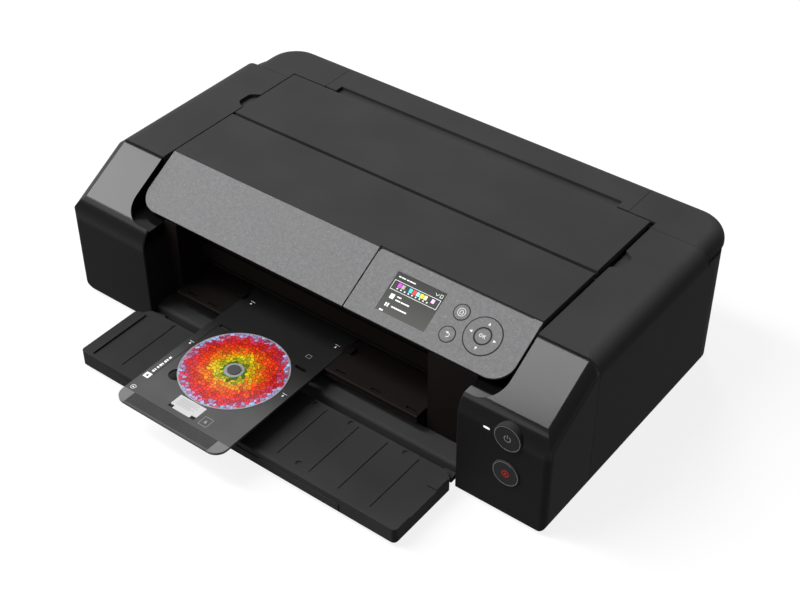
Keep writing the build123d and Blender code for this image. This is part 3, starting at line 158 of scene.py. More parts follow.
def metal(name, colour, roughness, streak, streak_mm, axis=0):
    """A metal whose drawing or grinding left fine lines along one axis."""
    material, tree, surface = blank_material(name)
    stretch = [1 / (streak_mm * MM)] * 3
    stretch[axis] = 1 / 0.06
    lines = add(
        tree, "ShaderNodeMapping", {"Scale": stretch}, {"Vector": object_place(tree)}
    )
    grain = add(
        tree, "ShaderNodeTexNoise", {"Scale": 1.0, "Detail": 2.0}, {"Vector": lines.outputs[0]}
    )
    uneven = add(
        tree,
        "ShaderNodeMapRange",
        {
            "From Min": 0.3,
            "From Max": 0.7,
            "To Min": roughness - streak,
            "To Max": roughness + streak,
        },
        {"Value": grain.outputs["Fac"]},
    )
    tree.links.new(uneven.outputs["Result"], surface.inputs["Roughness"])
    surface.inputs["Base Color"].default_value = linear(colour)
    surface.inputs["Metallic"].default_value = 1.0
    return material


def roughen_walls(material, half_width_mm, nose_mm, roughness):
    """Raises the roughness below the nose and on the outer sides, where the tool was textured."""
    tree = material.node_tree
    surface = tree.nodes["Principled BSDF"]
    polished = surface.inputs["Roughness"].links[0].from_socket
    split = add(tree, "ShaderNodeSeparateXYZ", links={"Vector": object_place(tree)})
    away = add(tree, "ShaderNodeMath", {"operation": "ABSOLUTE"}, {0: split.outputs["X"]})
    side = add(
        tree,
        "ShaderNodeMapRange",
        {"From Min": (half_width_mm - 2) * MM, "From Max": (half_width_mm - 0.3) * MM},
        {"Value": away.outputs[0]},
    )
    below = add(
        tree,
        "ShaderNodeMapRange",
        {"From Min": nose_mm * MM, "From Max": (nose_mm - 16) * MM},
        {"Value": split.outputs["Z"]},
    )
    wall = add(
        tree,
        "ShaderNodeMath",
        {"operation": "MAXIMUM"},
        {0: side.outputs["Result"], 1: below.outputs["Result"]},
    )
    mixed = add(
        tree,
        "ShaderNodeMix",
        {"B": roughness},
        {"Factor": wall.outputs[0], "A": polished},
    )
    tree.links.new(mixed.outputs["Result"], surface.inputs["Roughness"])


# High-impact styrene, moulded in a polished tool: deep black that mirrors the softbox on the
# brow and falls to near black on the upright front and the textured outer side.
polished_styrene = moulded(
    "polished_black_styrene", "#0b0b0c", "#0e0e0f", 0.14, 0.9, 0.002, 0.1
)
roughen_walls(polished_styrene, HALF_WIDTH, NOSE_HEIGHT, 0.75)
# The same styrene from a spark-eroded tool: an even charcoal satin on the covers.
satin_styrene = moulded(
    "satin_charcoal_styrene", "#2d2d2e", "#313132", 0.78, 0.5, 0.004, 0.08
)
# Coarser texture for trays and shelves, which paper and fingers rub: duller charcoal.
tray_styrene = moulded(
    "textured_tray_styrene", "#29292a", "#2f2f30", 0.7, 0.5, 0.008, 0.06
)
# Black moulding inside the exit, given a darker colour than the covers as painted shade because it
# lies out of the light: almost no sheen.
shaded_inner_styrene = moulded(
    "matt_inner_styrene_in_painted_shade", "#0f0b0b", "#140f0f", 0.6, 0.6, 0.008, 0.06
)
# Glass-filled nylon of rollers' holders, chutes and the carriage.
inner_nylon = moulded("glass_filled_nylon", "#151515", "#1b1b1b", 0.5, 0.35, 0.01, 0.4)
# Acetal gears: waxy off-white.
acetal = moulded("moulded_acetal", "#d9d6cc", "#e2dfd6", 0.35, 0.6, 0.003)
# The disc clip: light grey styrene, printed side up.
light_styrene = moulded("light_grey_styrene", "#b4b4b4", "#c0c0c0", 0.45, 0.5, 0.005, 0.05)
# The hub that grips the disc: mid grey styrene.
grey_styrene = moulded("mid_grey_styrene", "#434343", "#4c4c4c", 0.4, 0.5, 0.005, 0.2)
# Butyl rubber of feet, belt and rollers: dull black with a dusty bloom.
moulded_rubber = moulded("moulded_rubber", "#161616", "#202020", 0.8, 0.4, 0.02, 0.3)
# Pressed cellulose felt that drinks the waste ink.
felt = moulded("pressed_felt", "#b8b6ae", "#cfcdc6", 0.95, 0.8, 0.1, 0.1)
# Ink tanks: smoky polypropylene.
tank_polypropylene = moulded("smoky_polypropylene", "#1c1c1e", "#2a2a2c", 0.25, 1.2, 0.003)
# Zinc-plated pressed steel of side frames and rail.
zinc_steel = metal("zinc_plated_steel", "#b9bcbe", 0.34, 0.08, 0.5)
# Ground steel shafts.
ground_steel = metal("ground_steel_shaft", "#9b9c9e", 0.22, 0.06, 0.3)
# Black zinc screws.
black_zinc = metal("black_zinc_screw", "#2b2b2d", 0.4, 0.05, 0.3)


def make_speckled_paint():
    """Metallic paint on moulded styrene: grey ground with bright flakes and darker pits."""
    material, tree, surface = blank_material("speckled_metallic_paint")
    place = object_place(tree)
    # Real flake is about 0.1 mm, too fine to show here, so it is drawn 1.1 mm across.
    flake_size = 1.1 * MM
    flake = add(
        tree,
        "ShaderNodeTexVoronoi",
        {"Scale": 1 / flake_size, "Randomness": 1.0},
        {"Vector": place},
    )
    cloud = add(
        tree, "ShaderNodeTexNoise", {"Scale": 1 / 0.0035, "Detail": 2.0}, {"Vector": place}
    )
    per_flake = add(tree, "ShaderNodeSeparateColor", links={"Color": flake.outputs["Color"]})
    mixed = add(
        tree,
        "ShaderNodeMix",
        {"Factor": 0.55},
        {"A": per_flake.outputs["Red"], "B": cloud.outputs["Fac"]},
    )
    tone = ramp(
        tree,
        mixed.outputs["Result"],
        [(0.2, "#646465"), (0.5, "#6c6c6d"), (0.72, "#737374"), (0.9, "#858586")],
    )
    tree.links.new(tone, surface.inputs["Base Color"])
    sparkle = add(
        tree,
        "ShaderNodeMapRange",
        {"From Min": 0.0, "From Max": 1.0, "To Min": 0.55, "To Max": 0.68},
        {"Value": per_flake.outputs["Green"]},
    )
    tree.links.new(sparkle.outputs["Result"], surface.inputs["Roughness"])
    bump = add(
        tree, "ShaderNodeBump", {"Strength": 0.35, "Distance": 0.00002},
        {"Height": mixed.outputs["Result"]},
    )
    tree.links.new(bump.outputs["Normal"], surface.inputs["Normal"])
    surface.inputs["IOR"].default_value = 1.5
    surface.inputs["Specular IOR Level"].default_value = 0.12
    return material


def make_disc_tray_plastic():
    """Textured styrene of the disc tray, with a lighter field at its two front corners, and painted
    shade that darkens it toward its back.
    """
    material, tree, surface = blank_material("disc_tray_styrene")
    place = object_place(tree)
    split = add(tree, "ShaderNodeSeparateXYZ", links={"Vector": place})
    grain = add(tree, "ShaderNodeTexNoise", {"Scale": 1 / 0.0006}, {"Vector": place})
    flow = add(tree, "ShaderNodeTexNoise", {"Scale": 1 / 0.05}, {"Vector": place})
    tone = ramp(tree, flow.outputs["Fac"], [(0.35, "#3d3d3e"), (0.65, "#434344")])
    band = add(
        tree,
        "ShaderNodeMath",
        {"operation": "LESS_THAN", 1: (FRONT - 124.5) * MM},
        {0: split.outputs["Y"]},
    )
    from_middle = add(
        tree, "ShaderNodeMath", {"operation": "SUBTRACT", 1: DISC_X * MM}, {0: split.outputs["X"]}
    )
    away = add(tree, "ShaderNodeMath", {"operation": "ABSOLUTE"}, {0: from_middle.outputs[0]})
    beside = add(
        tree, "ShaderNodeMath", {"operation": "GREATER_THAN", 1: 58.5 * MM}, {0: away.outputs[0]}
    )
    corner = add(
        tree,
        "ShaderNodeMath",
        {"operation": "MULTIPLY"},
        {0: band.outputs[0], 1: beside.outputs[0]},
    )
    colour = add(
        tree,
        "ShaderNodeMix",
        {"data_type": "RGBA", "B": linear("#666667")},
        {"Factor": corner.outputs[0], "A": tone},
    )
    # Painted shade: the tray's colour darkens toward its back, where it runs into the shade of the
    # exit, while the front keeps the moulded tone.
    rear_shade_mask = add(
        tree,
        "ShaderNodeMapRange",
        {"From Min": (FRONT - 90) * MM, "From Max": (FRONT + 10) * MM, "To Max": 0.9},
        {"Value": split.outputs["Y"]},
    )
    tray_tone_with_painted_shade = add(
        tree,
        "ShaderNodeMix",
        {"data_type": "RGBA", "B": linear("#0e0e0f")},
        {"Factor": rear_shade_mask.outputs["Result"], "A": colour.outputs["Result"]},
    )
    tree.links.new(tray_tone_with_painted_shade.outputs["Result"], surface.inputs["Base Color"])
    bump = add(
        tree, "ShaderNodeBump", {"Strength": 0.5, "Distance": 0.00001},
        {"Height": grain.outputs["Fac"]},
    )
    tree.links.new(bump.outputs["Normal"], surface.inputs["Normal"])
    surface.inputs["Roughness"].default_value = 0.45
    surface.inputs["Specular IOR Level"].default_value = 0.15
    return material


def make_printed_disc():
    """Ink on a white-coated polycarbonate disc: a mosaic of small tiles in rings of green,
    yellow, orange, red and pale blue, inside a bare silver rim and hub ring."""
    material, tree, surface = blank_material("inkjet_print_on_polycarbonate")
    place = object_place(tree)
    centre = add(
        tree,
        "ShaderNodeVectorMath",
        {"operation": "SUBTRACT", 1: on_level(DISC_X, DISC_D)},
        {0: place},
    )
    split = add(tree, "ShaderNodeSeparateXYZ", links={"Vector": centre.outputs[0]})
    flat = add(
        tree, "ShaderNodeCombineXYZ", links={"X": split.outputs["X"], "Y": split.outputs["Y"]}
    )
    radius = add(
        tree, "ShaderNodeVectorMath", {"operation": "LENGTH"}, {0: flat.outputs[0]}
    )
    # Mosaic tiles are about 4 mm across, each in one colour, with dark joints between them.
    tile_size = 4.2 * MM
    print_inner, print_outer = 11.0 * MM, 58.6 * MM
    tiles = add(
        tree,
        "ShaderNodeTexVoronoi",
        {"voronoi_dimensions": "2D", "Scale": 1 / tile_size},
        {"Vector": flat.outputs[0]},
    )
    joints = add(
        tree,
        "ShaderNodeTexVoronoi",
        {"voronoi_dimensions": "2D", "feature": "DISTANCE_TO_EDGE", "Scale": 1 / tile_size},
        {"Vector": flat.outputs[0]},
    )
    tile_tone = add(tree, "ShaderNodeSeparateColor", links={"Color": tiles.outputs["Color"]})
    tile_radius = add(
        tree, "ShaderNodeVectorMath", {"operation": "LENGTH"}, {0: tiles.outputs["Position"]}
    )
    # The rings run from green inside to pale blue outside, and each tile strays a little.
    outward = add(
        tree,
        "ShaderNodeMapRange",
        {"From Min": print_inner, "From Max": print_outer, "To Min": 0.02, "To Max": 0.8},
        {"Value": tile_radius.outputs["Value"]},
    )
    hue = add(
        tree,
        "ShaderNodeMath",
        {"operation": "MULTIPLY_ADD", 1: 0.2},
        {0: tile_tone.outputs["Red"], 2: outward.outputs["Result"]},
    )
    colours = ramp(
        tree,
        hue.outputs[0],
        [
            (0.0, "#1f4d1c"),
            (0.14, "#4f7a1e"),
            (0.24, "#d6cf1f"),
            (0.36, "#f08a16"),
            (0.52, "#ee4a17"),
            (0.68, "#d8231a"),
            (0.82, "#c63a5a"),
            (0.92, "#a9b4ea"),
            (1.0, "#8fd3f0"),
        ],
    )
    gaps = add(
        tree,
        "ShaderNodeMapRange",
        {"From Min": 0.02, "From Max": 0.09},
        {"Value": joints.outputs["Distance"]},
    )
    shade = add(
        tree,
        "ShaderNodeMapRange",
        {"From Min": 0.0, "From Max": 1.0, "To Min": 0.5, "To Max": 1.0},
        {"Value": tile_tone.outputs["Green"]},
    )
    shaded = add(
        tree,
        "ShaderNodeMath",
        {"operation": "MULTIPLY"},
        {0: gaps.outputs["Result"], 1: shade.outputs["Result"]},
    )
    ink = add(
        tree,
        "ShaderNodeMix",
        {"data_type": "RGBA", "A": linear("#1c0806")},
        {"Factor": shaded.outputs[0], "B": colours},
    )
    # Bare rim outside 58.6 mm and bare clamping ring inside 11 mm.
    rings = ramp(
        tree,
        add(
            tree,
            "ShaderNodeMath",
            {"operation": "DIVIDE", 1: DISC_RADIUS * MM},
            {0: radius.outputs["Value"]},
        ).outputs[0],
        [(0.0, 1.0), (0.182, 1.0), (0.186, 0.0), (0.974, 0.0), (0.978, 1.0)],
    )
    face = add(
        tree,
        "ShaderNodeMix",
        {"data_type": "RGBA", "B": linear("#8b8b8c")},
        {"Factor": rings, "A": ink.outputs["Result"]},
    )
    tree.links.new(face.outputs["Result"], surface.inputs["Base Color"])
    surface.inputs["Roughness"].default_value = 0.35
    surface.inputs["IOR"].default_value = 1.58
    surface.inputs["Specular IOR Level"].default_value = 0.08
    return material


def make_solder_mask():
    """Printed circuit board: green lacquer over copper tracks, lighter where copper lies."""
    material, tree, surface = blank_material("green_solder_mask")
    place = object_place(tree)
    tracks = add(
        tree,
        "ShaderNodeTexVoronoi",
        {"feature": "DISTANCE_TO_EDGE", "Scale": 1 / 0.006},
        {"Vector": place},
    )
    tone = ramp(tree, tracks.outputs["Distance"], [(0.04, "#2e6a3c"), (0.09, "#184a27")])
    tree.links.new(tone, surface.inputs["Base Color"])
    surface.inputs["Roughness"].default_value = 0.3
    return material


def make_window_glass():
    """Acrylic window over a dim colour display: charcoal that lightens down the picture."""
    material, tree, surface = blank_material("acrylic_over_lit_display")
    split = add(tree, "ShaderNodeSeparateXYZ", links={"Vector": object_place(tree)})
    down = add(
        tree,
        "ShaderNodeMapRange",
        {
            "From Min": on_slope(0, 61).z,
            "From Max": on_slope(0, 15).z,
            "To Min": 0.0,
            "To Max": 1.0,
        },
        {"Value": split.outputs["Z"]},
    )
    tone = ramp(
        tree, down.outputs["Result"], [(0.0, "#7a7c76"), (0.6, "#5d5e5b"), (1.0, "#4a4b4b")]
    )
    surface.inputs["Base Color"].default_value = linear("#101010")
    tree.links.new(tone, surface.inputs["Emission Color"])
    surface.inputs["Emission Strength"].default_value = 0.45
    surface.inputs["Roughness"].default_value = 0.12
    surface.inputs["IOR"].default_value = 1.49
    surface.inputs["Specular IOR Level"].default_value = 0.02
    return material


def printed_ink(name, colour, glow=0.0):
    """Screen-printed ink, or with glow a lit patch of the display or a lamp."""
    material, tree, surface = blank_material(name)
    film = add(tree, "ShaderNodeTexNoise", {"Scale": 1 / 0.002}, {"Vector": object_place(tree)})
    uneven = add(
        tree,
        "ShaderNodeMapRange",
        {"From Min": 0.3, "From Max": 0.7, "To Min": 0.42, "To Max": 0.52},
        {"Value": film.outputs["Fac"]},
    )
    tree.links.new(uneven.outputs["Result"], surface.inputs["Roughness"])
    surface.inputs["Base Color"].default_value = linear(colour)
    surface.inputs["Specular IOR Level"].default_value = 0.1
    if glow:
        surface.inputs["Emission Color"].default_value = linear(colour)
        surface.inputs["Emission Strength"].default_value = glow
    return material


speckled_paint = make_speckled_paint()
disc_tray_styrene = make_disc_tray_plastic()
printed_polycarbonate = make_printed_disc()
solder_mask = make_solder_mask()
lit_window = make_window_glass()
white_ink = printed_ink("white_screen_ink", "#e6e6e6")
grey_ink = printed_ink("grey_screen_ink", "#8c8c8c")
# Black ink for outlines and joints, and also laid as painted shade in the tray's grip grooves and
# clip notches.
black_ink_and_shade = printed_ink("black_ink_and_painted_shade", "#070707")
red_ink = printed_ink("red_screen_ink", "#c22a24")
lamp_light = printed_ink("white_lamp_diffuser", "#ffffff", 0.6)

finishes = {
    polished_styrene: "left_front_bezel right_front_bezel",
    satin_styrene: "left_side_cover right_side_cover top_cover rear_tray_cover rear_cap"
    " manual_feed_cover rear_panel base_pan",
    speckled_paint: "cover_fascia control_panel home_button back_button ok_button direction_pad",
    tray_styrene: "output_tray tray_extension power_button stop_button",
    shaded_inner_styrene: "inner_fascia disc_guide power_inlet port_block power_supply",
    inner_nylon: "platen carriage pinch_holders purge_unit paper_chute left_edge_guide"
    " right_edge_guide print_head",
    acetal: "feed_gear eject_gear idler_gear motor_pinion drive_pulley idler_pulley",
    light_styrene: "tray_clip",
    grey_styrene: "disc_hub",
    disc_tray_styrene: "disc_tray",
    printed_polycarbonate: "printable_disc",
    lit_window: "display_screen",
    lamp_light: "power_lamp",
    solder_mask: "control_board main_board",
    moulded_rubber: "rubber_feet timing_belt pickup_roller",
    zinc_steel: "side_frames carriage_rail feed_motor carriage_motor",
    ground_steel: "feed_roller eject_roller pinch_rollers",
    black_zinc: "case_screws",
    tank_polypropylene: "ink_tanks",
    felt: "waste_ink_pad",
}
for material, names in finishes.items():
    for name in names.split():
        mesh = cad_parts[name].data
        mesh.materials.clear()
        mesh.materials.append(material)


# ---------------------------------------------------------------- printed marks
def ring_shape(centre, inner, outer, start=0.0, end=360.0, steps=40):
    """A ring, or part of one, as short four-sided patches."""
    a, b = centre
    patches = []
    for step in range(steps):
        one = radians(start + (end - start) * step / steps)
        two = radians(start + (end - start) * (step + 1) / steps)
        patches.append(
            [
                (a + inner * cos(one), b + inner * sin(one)),
                (a + outer * cos(one), b + outer * sin(one)),
                (a + outer * cos(two), b + outer * sin(two)),
                (a + inner * cos(two), b + inner * sin(two)),
            ]
        )
    return patches


def stroke(points, width, closed=False):
    """A line of the given width through points, as one patch for each stretch."""
    ends = list(points) + ([points[0]] if closed else [])
    patches = []
    for (a0, b0), (a1, b1) in zip(ends, ends[1:]):
        angle = atan2(b1 - b0, a1 - a0)
        side = (-sin(angle) * width / 2, cos(angle) * width / 2)
        reach = (cos(angle) * width / 2, sin(angle) * width / 2)
        patches.append(
            [
                (a0 - reach[0] + side[0], b0 - reach[1] + side[1]),
                (a0 - reach[0] - side[0], b0 - reach[1] - side[1]),
                (a1 + reach[0] - side[0], b1 + reach[1] - side[1]),
                (a1 + reach[0] + side[0], b1 + reach[1] + side[1]),
            ]
        )
    return patches


def patch(a0, a1, b0, b1):
    """One rectangle."""
    return [[(a0, b0), (a1, b0), (a1, b1), (a0, b1)]]


def triangle(centre, size, toward):
    """A small arrowhead that points toward an angle in degrees."""
    a, b = centre
    corners = []
    for turn, reach in ((0, size), (130, size * 0.85), (230, size * 0.85)):
        angle = radians(toward + turn)
        corners.append((a + reach * cos(angle), b + reach * sin(angle)))
    return [corners]


def printed(name, body, place, patches, material, out=0.0, film=0.05):
    """A film of ink, or a sheet of painted shade, on a face: each patch is a thin closed slab that
    stands film mm off it.
    """
    mesh = bpy.data.meshes.new(name)
    shape = bmesh.new()
    for corners in patches:
        low = [shape.verts.new(place(a, b, out - 0.02)) for a, b in corners]
        high = [shape.verts.new(place(a, b, out + film)) for a, b in corners]
        count = len(corners)
        shape.faces.new(low[::-1])
        shape.faces.new(high)
        for i in range(count):
            shape.faces.new([low[i], low[(i + 1) % count], high[(i + 1) % count], high[i]])
    bmesh.ops.recalc_face_normals(shape, faces=shape.faces)
    shape.to_mesh(mesh)
    shape.free()
    piece = bpy.data.objects.new(name, mesh)
    bpy.context.scene.collection.objects.link(piece)
    mesh.materials.append(material)
    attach(piece, body)


# Control panel: a black outline round each key, white signs on the keys.
HOME, BACK, RING = (165.0, 25.9), (164.0, 52.4), (198.0, 38.6)
outlines = ring_shape(HOME, 8.0, 9.2) + ring_shape(BACK, 8.0, 9.2)
outlines += ring_shape(RING, 19.8, 21.1, steps=64)
printed("key_outlines", "housing", on_slope, outlines, black_ink_and_shade, 0.0)
printed("ok_outline", "direction_pad", on_slope, ring_shape(RING, 8.1, 9.8), black_ink_and_shade, KEY_PROUD)
# The dark joint between the panel and the lifting cover.
PANEL_LEFT, PANEL_RIGHT = 47.5, 234.0
joint = stroke([(PANEL_LEFT + 0.4, 5.0), (PANEL_LEFT + 1.4, 1.6), (PANEL_LEFT + 4.0, 0.7)], 1.3)
joint += stroke([(PANEL_LEFT + 4.0, 0.7), (PANEL_RIGHT, 0.7)], 1.3)
printed("panel_joint", "housing", on_slope, joint, black_ink_and_shade, 0.0)
arrows = triangle((RING[0] + 13.6, RING[1]), 2.1, 0) + triangle((RING[0] - 13.6, RING[1]), 2.1, 180)
arrows += triangle((RING[0], RING[1] + 13.6), 2.1, 90)
arrows += triangle((RING[0], RING[1] - 13.6), 2.1, -90)
printed("ring_arrows", "direction_pad", on_slope, arrows, white_ink, KEY_PROUD)
letters = ring_shape((RING[0] - 2.3, RING[1]), 1.25, 1.75, steps=24)
letters += stroke([(RING[0] + 0.7, RING[1] - 1.7), (RING[0] + 0.7, RING[1] + 1.7)], 0.5)
letters += stroke([(RING[0] + 0.9, RING[1] + 0.1), (RING[0] + 3.0, RING[1] - 1.7)], 0.5)
letters += stroke([(RING[0] + 1.4, RING[1] - 0.2), (RING[0] + 3.1, RING[1] + 1.7)], 0.5)
printed("ok_letters", "ok_button", on_slope, letters, white_ink, KEY_PROUD)
home_sign = ring_shape(HOME, 4.0, 4.5, steps=32)
home_sign += stroke(
    [(HOME[0] - 2.3, HOME[1]), (HOME[0], HOME[1] - 2.3), (HOME[0] + 2.3, HOME[1])], 0.5
)
home_sign += stroke(
    [
        (HOME[0] - 1.6, HOME[1]),
        (HOME[0] - 1.6, HOME[1] + 2.0),
        (HOME[0] + 1.6, HOME[1] + 2.0),
        (HOME[0] + 1.6, HOME[1]),
    ],
    0.5,
)
printed("home_sign", "home_button", on_slope, home_sign, white_ink, KEY_PROUD)
back_sign = ring_shape((BACK[0] + 0.4, BACK[1] + 0.4), 1.9, 2.5, -90, 110, steps=20)
back_sign += triangle((BACK[0] - 0.9, BACK[1] - 1.8), 1.9, 180)
printed("back_sign", "back_button", on_slope, back_sign, white_ink, KEY_PROUD)

# Power and stop keys on the right housing.
POWER, STOP = (272.5, 107.5), (272.5, 60.5)
power_sign = ring_shape(POWER, 3.1, 4.0, 120, 420, steps=32)
power_sign += stroke([(POWER[0], POWER[1] + 1.0), (POWER[0], POWER[1] + 4.6)], 0.9)
printed("power_sign", "power_button", on_front, power_sign, grey_ink, POWER_PROUD)
stop_sign = ring_shape(STOP, 3.3, 4.2, steps=32) + triangle(STOP, 2.6, 90)
printed("stop_sign", "stop_button", on_front, stop_sign, red_ink, STOP_PROUD)

rims = ring_shape(POWER, 14.2, 14.7, steps=64)
printed("power_rim", "power_button", on_front, rims, grey_ink, POWER_PROUD)
rims = ring_shape(STOP, 13.9, 14.4, steps=64)
printed("stop_rim", "stop_button", on_front, rims, grey_ink, STOP_PROUD)

# Display: a status line, a framed row of ink levels, and two menu lines.
SCREEN_LEFT, SCREEN_TOP = 80.0, 15.3


def on_screen(a, b, out=0.0):
    """A place on the display, a mm from its left edge and b mm below its top edge."""
    return on_slope(SCREEN_LEFT + a, SCREEN_TOP + b, out)


screen_white = printed_ink("display_white", "#c9ccca", 0.75)
status = patch(3.5, 6.5, 4.2, 5.4) + patch(7.2, 12.0, 4.2, 5.4) + patch(13.4, 16.4, 4.2, 5.4)
status += patch(17.2, 24.4, 4.2, 5.4)
status += stroke([(49.5, 4.0), (51.6, 6.4), (53.7, 4.0)], 0.5)
status += stroke([(55.5, 3.4), (58.2, 3.4), (58.2, 6.8), (55.5, 6.8)], 0.4, True)
lines = status + stroke([(2.0, 9.5), (58.6, 9.5), (58.6, 20.0), (2.0, 20.0)], 0.45, True)
for column in range(9):
    lines += patch(8.6 + column * 4.6, 10.2 + column * 4.6, 16.6, 18.0)
lines += patch(6.5, 11.5, 24.0, 29.5) + patch(14.5, 19.5, 24.2, 25.6)
lines += patch(14.5, 20.5, 28.0, 29.4) + patch(21.4, 31.5, 28.0, 29.4)
lines += patch(6.5, 8.3, 34.6, 38.6) + patch(9.2, 11.0, 34.6, 38.6)
lines += patch(14.5, 33.0, 36.0, 37.4) + patch(4.0, 8.6, 43.2, 44.9)
printed("display_lines", "housing", on_screen, lines, screen_white, DISPLAY_SUNK)
# Eight ink levels in ten places; two places stay dark.
levels = {
    0: "#d838d8",
    1: "#8f8f8c",
    3: "#29c3d4",
    4: "#e03a34",
    5: "#7fd3dc",
    6: "#e6dc32",
    7: "#dfe0a0",
    9: "#dca6dc",
}
for column, colour in levels.items():
    left = 8.2 + column * 4.6
    level = patch(left, left + 3.6, 11.3, 15.6)
    chip = printed_ink(f"display_ink_{column}", colour, 0.8)
    printed(f"ink_level_{column}", "housing", on_screen, level, chip, DISPLAY_SUNK)

# Disc tray: insertion arrows and a plain bar label in white.
marks = triangle((-114.5, -33.0), 1.9, 90) + stroke([(-117.0, -29.8), (-112.0, -29.8)], 0.5)
marks += triangle((19.3, -35.5), 1.9, 90) + stroke([(16.8, -32.3), (21.8, -32.3)], 0.5)
marks += triangle((14.4, 56.5), 2.0, 90) + stroke([(11.6, 60.0), (17.2, 60.0)], 0.5)
marks += triangle((-106.5, 56.5), 2.0, 90) + stroke([(-109.3, 60.0), (-103.7, 60.0)], 0.5)
marks += ring_shape((-113.8, -118.9), 2.6, 3.1, steps=24) + triangle((-113.8, -118.9), 1.5, 90)
for bar, length in enumerate((2.6, 1.4, 2.2, 3.0, 1.6, 2.8, 2.0, 3.2)):
    start = -90.0 + bar * 3.6
    marks += patch(-115.8, -113.0, start, start + length)
marks += patch(-118.4, -110.9, -101.0, -93.4)
printed("tray_marks", "disc_tray", on_level, marks, white_ink)
arrow = triangle((-114.6, -97.4), 2.6, 90)
printed("tray_mark_arrow", "disc_tray", on_level, arrow, black_ink_and_shade, 0.05)
notes = stroke([(-23.0, -118.0), (-12.0, -118.0), (-12.0, -106.0), (-23.0, -106.0)], 0.45, True)
notes += triangle((-17.5, -112.5), 2.8, 90)
notes += stroke([(-1.4, 25.2), (4.2, 25.2), (4.2, 30.0), (-1.4, 30.0)], 0.4, True)
printed("tray_notes", "disc_tray", on_level, notes, grey_ink)
# Painted shade: black sheets in the nine grip grooves and in the two notches beside the clip.
TRAY_FRONT = DISC_D - 104.9
shade = []
for line in range(9):
    groove = TRAY_FRONT + 2.6 + line * 1.65
    shade += patch(DISC_X - 58.0, DISC_X + 58.0, groove, groove + 0.8)
printed("grip_shade", "disc_tray", on_level, shade, black_ink_and_shade, -0.2)
shade = patch(DISC_X - 18.0, DISC_X - 12.0, TRAY_FRONT + 24.0, TRAY_FRONT + 28.0)
shade += patch(DISC_X + 12.0, DISC_X + 18.0, TRAY_FRONT + 24.0, TRAY_FRONT + 28.0)
printed("clip_shade", "disc_tray", on_level, shade, black_ink_and_shade, -0.6)
notes = []
for line, length in enumerate((25.0, 22.0, 26.0, 18.0, 24.0, 20.0)):
    row = TRAY_FRONT + 40.5 - line * 1.9
    notes += patch(DISC_X - 14.0, DISC_X - 14.0 + length, row, row + 0.45)
printed("clip_print", "disc_tray", on_level, notes, grey_ink, -0.1)


# ---------------------------------------------------------------- room, lights and camera
def shown_rays(tree):
    """One where a ray comes from the camera, a reflection or glass, and nought elsewhere."""
    seen = add(tree, "ShaderNodeLightPath")
    direct = add(
        tree,
        "ShaderNodeMath",
        {"operation": "MAXIMUM"},
        {0: seen.outputs["Is Camera Ray"], 1: seen.outputs["Is Glossy Ray"]},
    )
    shown = add(
        tree,
        "ShaderNodeMath",
        {"operation": "MAXIMUM"},
        {0: direct.outputs[0], 1: seen.outputs["Is Transmission Ray"]},
    )
    return shown.outputs[0]


def make_paper_backdrop():
    """White paper that photographs as plain white and keeps a faint shadow of the machine."""
    material, tree, surface = blank_material("white_paper_sweep")
    shown = shown_rays(tree)
    # The paper is pale to the camera; what it throws back on the machine is a mid grey's worth.
    tone = add(
        tree,
        "ShaderNodeMix",
        {"data_type": "RGBA", "A": linear("#5c5c5c"), "B": linear("#f2f2f2")},
        {"Factor": shown},
    )
    tree.links.new(tone.outputs["Result"], surface.inputs["Base Color"])
    surface.inputs["Roughness"].default_value = 0.9
    surface.inputs["Specular IOR Level"].default_value = 0.0
    white = add(tree, "ShaderNodeEmission", {"Color": (1, 1, 1, 1), "Strength": 1.0})
    share = add(
        tree, "ShaderNodeMath", {"operation": "MULTIPLY", 1: 0.85}, {0: shown}
    )
    paper = add(tree, "ShaderNodeMixShader", links={0: share.outputs[0]})
    tree.links.new(surface.outputs["BSDF"], paper.inputs[1])
    tree.links.new(white.outputs["Emission"], paper.inputs[2])
    tree.links.new(paper.outputs["Shader"], tree.nodes["Material Output"].inputs["Surface"])
    return material


def stage_floor():
    """The floor that the machine stands on."""
    material = make_paper_backdrop()
    mesh = bpy.data.meshes.new("paper_sweep")
    reach = 6.0
    corners = [(-reach, -reach, 0), (reach, -reach, 0), (reach, reach, 0), (-reach, reach, 0)]
    mesh.from_pydata(corners, [], [(0, 1, 2, 3)])
    floor = bpy.data.objects.new("paper_sweep", mesh)
    bpy.context.scene.collection.objects.link(floor)
    mesh.materials.append(material)


# Where the softboxes point, in metres.
MACHINE_MIDDLE = Vector((0, -0.07, 0.15))


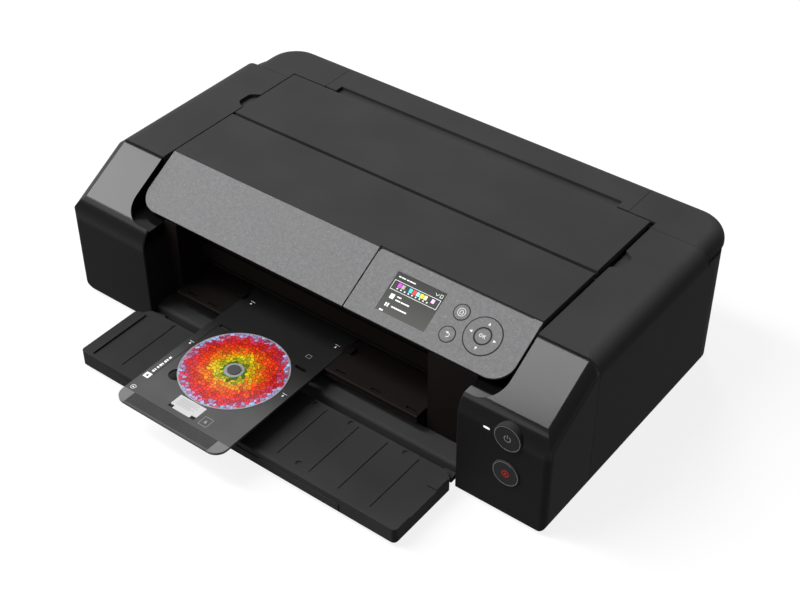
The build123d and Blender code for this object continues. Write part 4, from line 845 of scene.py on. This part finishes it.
def softbox(name, place, width, depth, power):
    """A rectangular softbox that faces the machine, with its width across the machine's."""
    lamp = bpy.data.lights.new(name, "AREA")
    lamp.shape = "RECTANGLE"
    lamp.size = width
    lamp.size_y = depth
    lamp.energy = power
    light = bpy.data.objects.new(name, lamp)
    bpy.context.scene.collection.objects.link(light)
    back = (Vector(place) - MACHINE_MIDDLE).normalized()
    across = Vector((0, 1, 0)).cross(back).normalized()
    turn = Matrix((across, back.cross(across), back)).transposed()
    light.matrix_world = Matrix.Translation(place) @ turn.to_4x4()


def light_room():
    """A long softbox whose mirror image lies on the angled fronts, three more as fill, and an
    even white room."""
    world = bpy.data.worlds.new("white_room")
    bpy.context.scene.world = world
    world.use_nodes = True
    tree = world.node_tree
    tree.nodes.clear()
    strength = add(
        tree,
        "ShaderNodeMapRange",
        {"To Min": 0.18, "To Max": 1.0},
        {"Value": shown_rays(tree)},
    )
    room = add(
        tree,
        "ShaderNodeBackground",
        {"Color": (1, 1, 1, 1)},
        {"Strength": strength.outputs["Result"]},
    )
    output = add(tree, "ShaderNodeOutputWorld")
    tree.links.new(room.outputs[0], output.inputs["Surface"])
    softbox("overhead_softbox", (-3.25, -1.45, 4.98), 4.4, 1.0, 400.0)
    softbox("front_softbox", (-3.0, -3.4, 4.1), 2.6, 3.2, 120.0)
    softbox("rear_softbox", (-2.8, 3.9, 3.95), 1.5, 1.9, 130.0)
    softbox("left_softbox", (-5.0, -1.5, 2.2), 3.0, 4.0, 110.0)


def place_camera():
    """The photographer's camera: 67 mm on a 36 mm wide frame, turned 37 degrees, tipped 39.5."""
    yaw, pitch = radians(37.3315), radians(39.4968)
    looking = Vector((-sin(yaw) * cos(pitch), cos(yaw) * cos(pitch), -sin(pitch)))
    data = bpy.data.cameras.new("photo_camera")
    data.sensor_width = 36.0
    data.lens = 66.81
    camera = bpy.data.objects.new("photo_camera", data)
    bpy.context.scene.collection.objects.link(camera)
    camera.location = (0.79523, -0.96521, 1.09661)
    camera.rotation_euler = looking.to_track_quat("-Z", "Y").to_euler()
    bpy.context.scene.camera = camera


stage_floor()
light_room()
place_camera()
bpy.context.scene.view_settings.view_transform = "Standard"
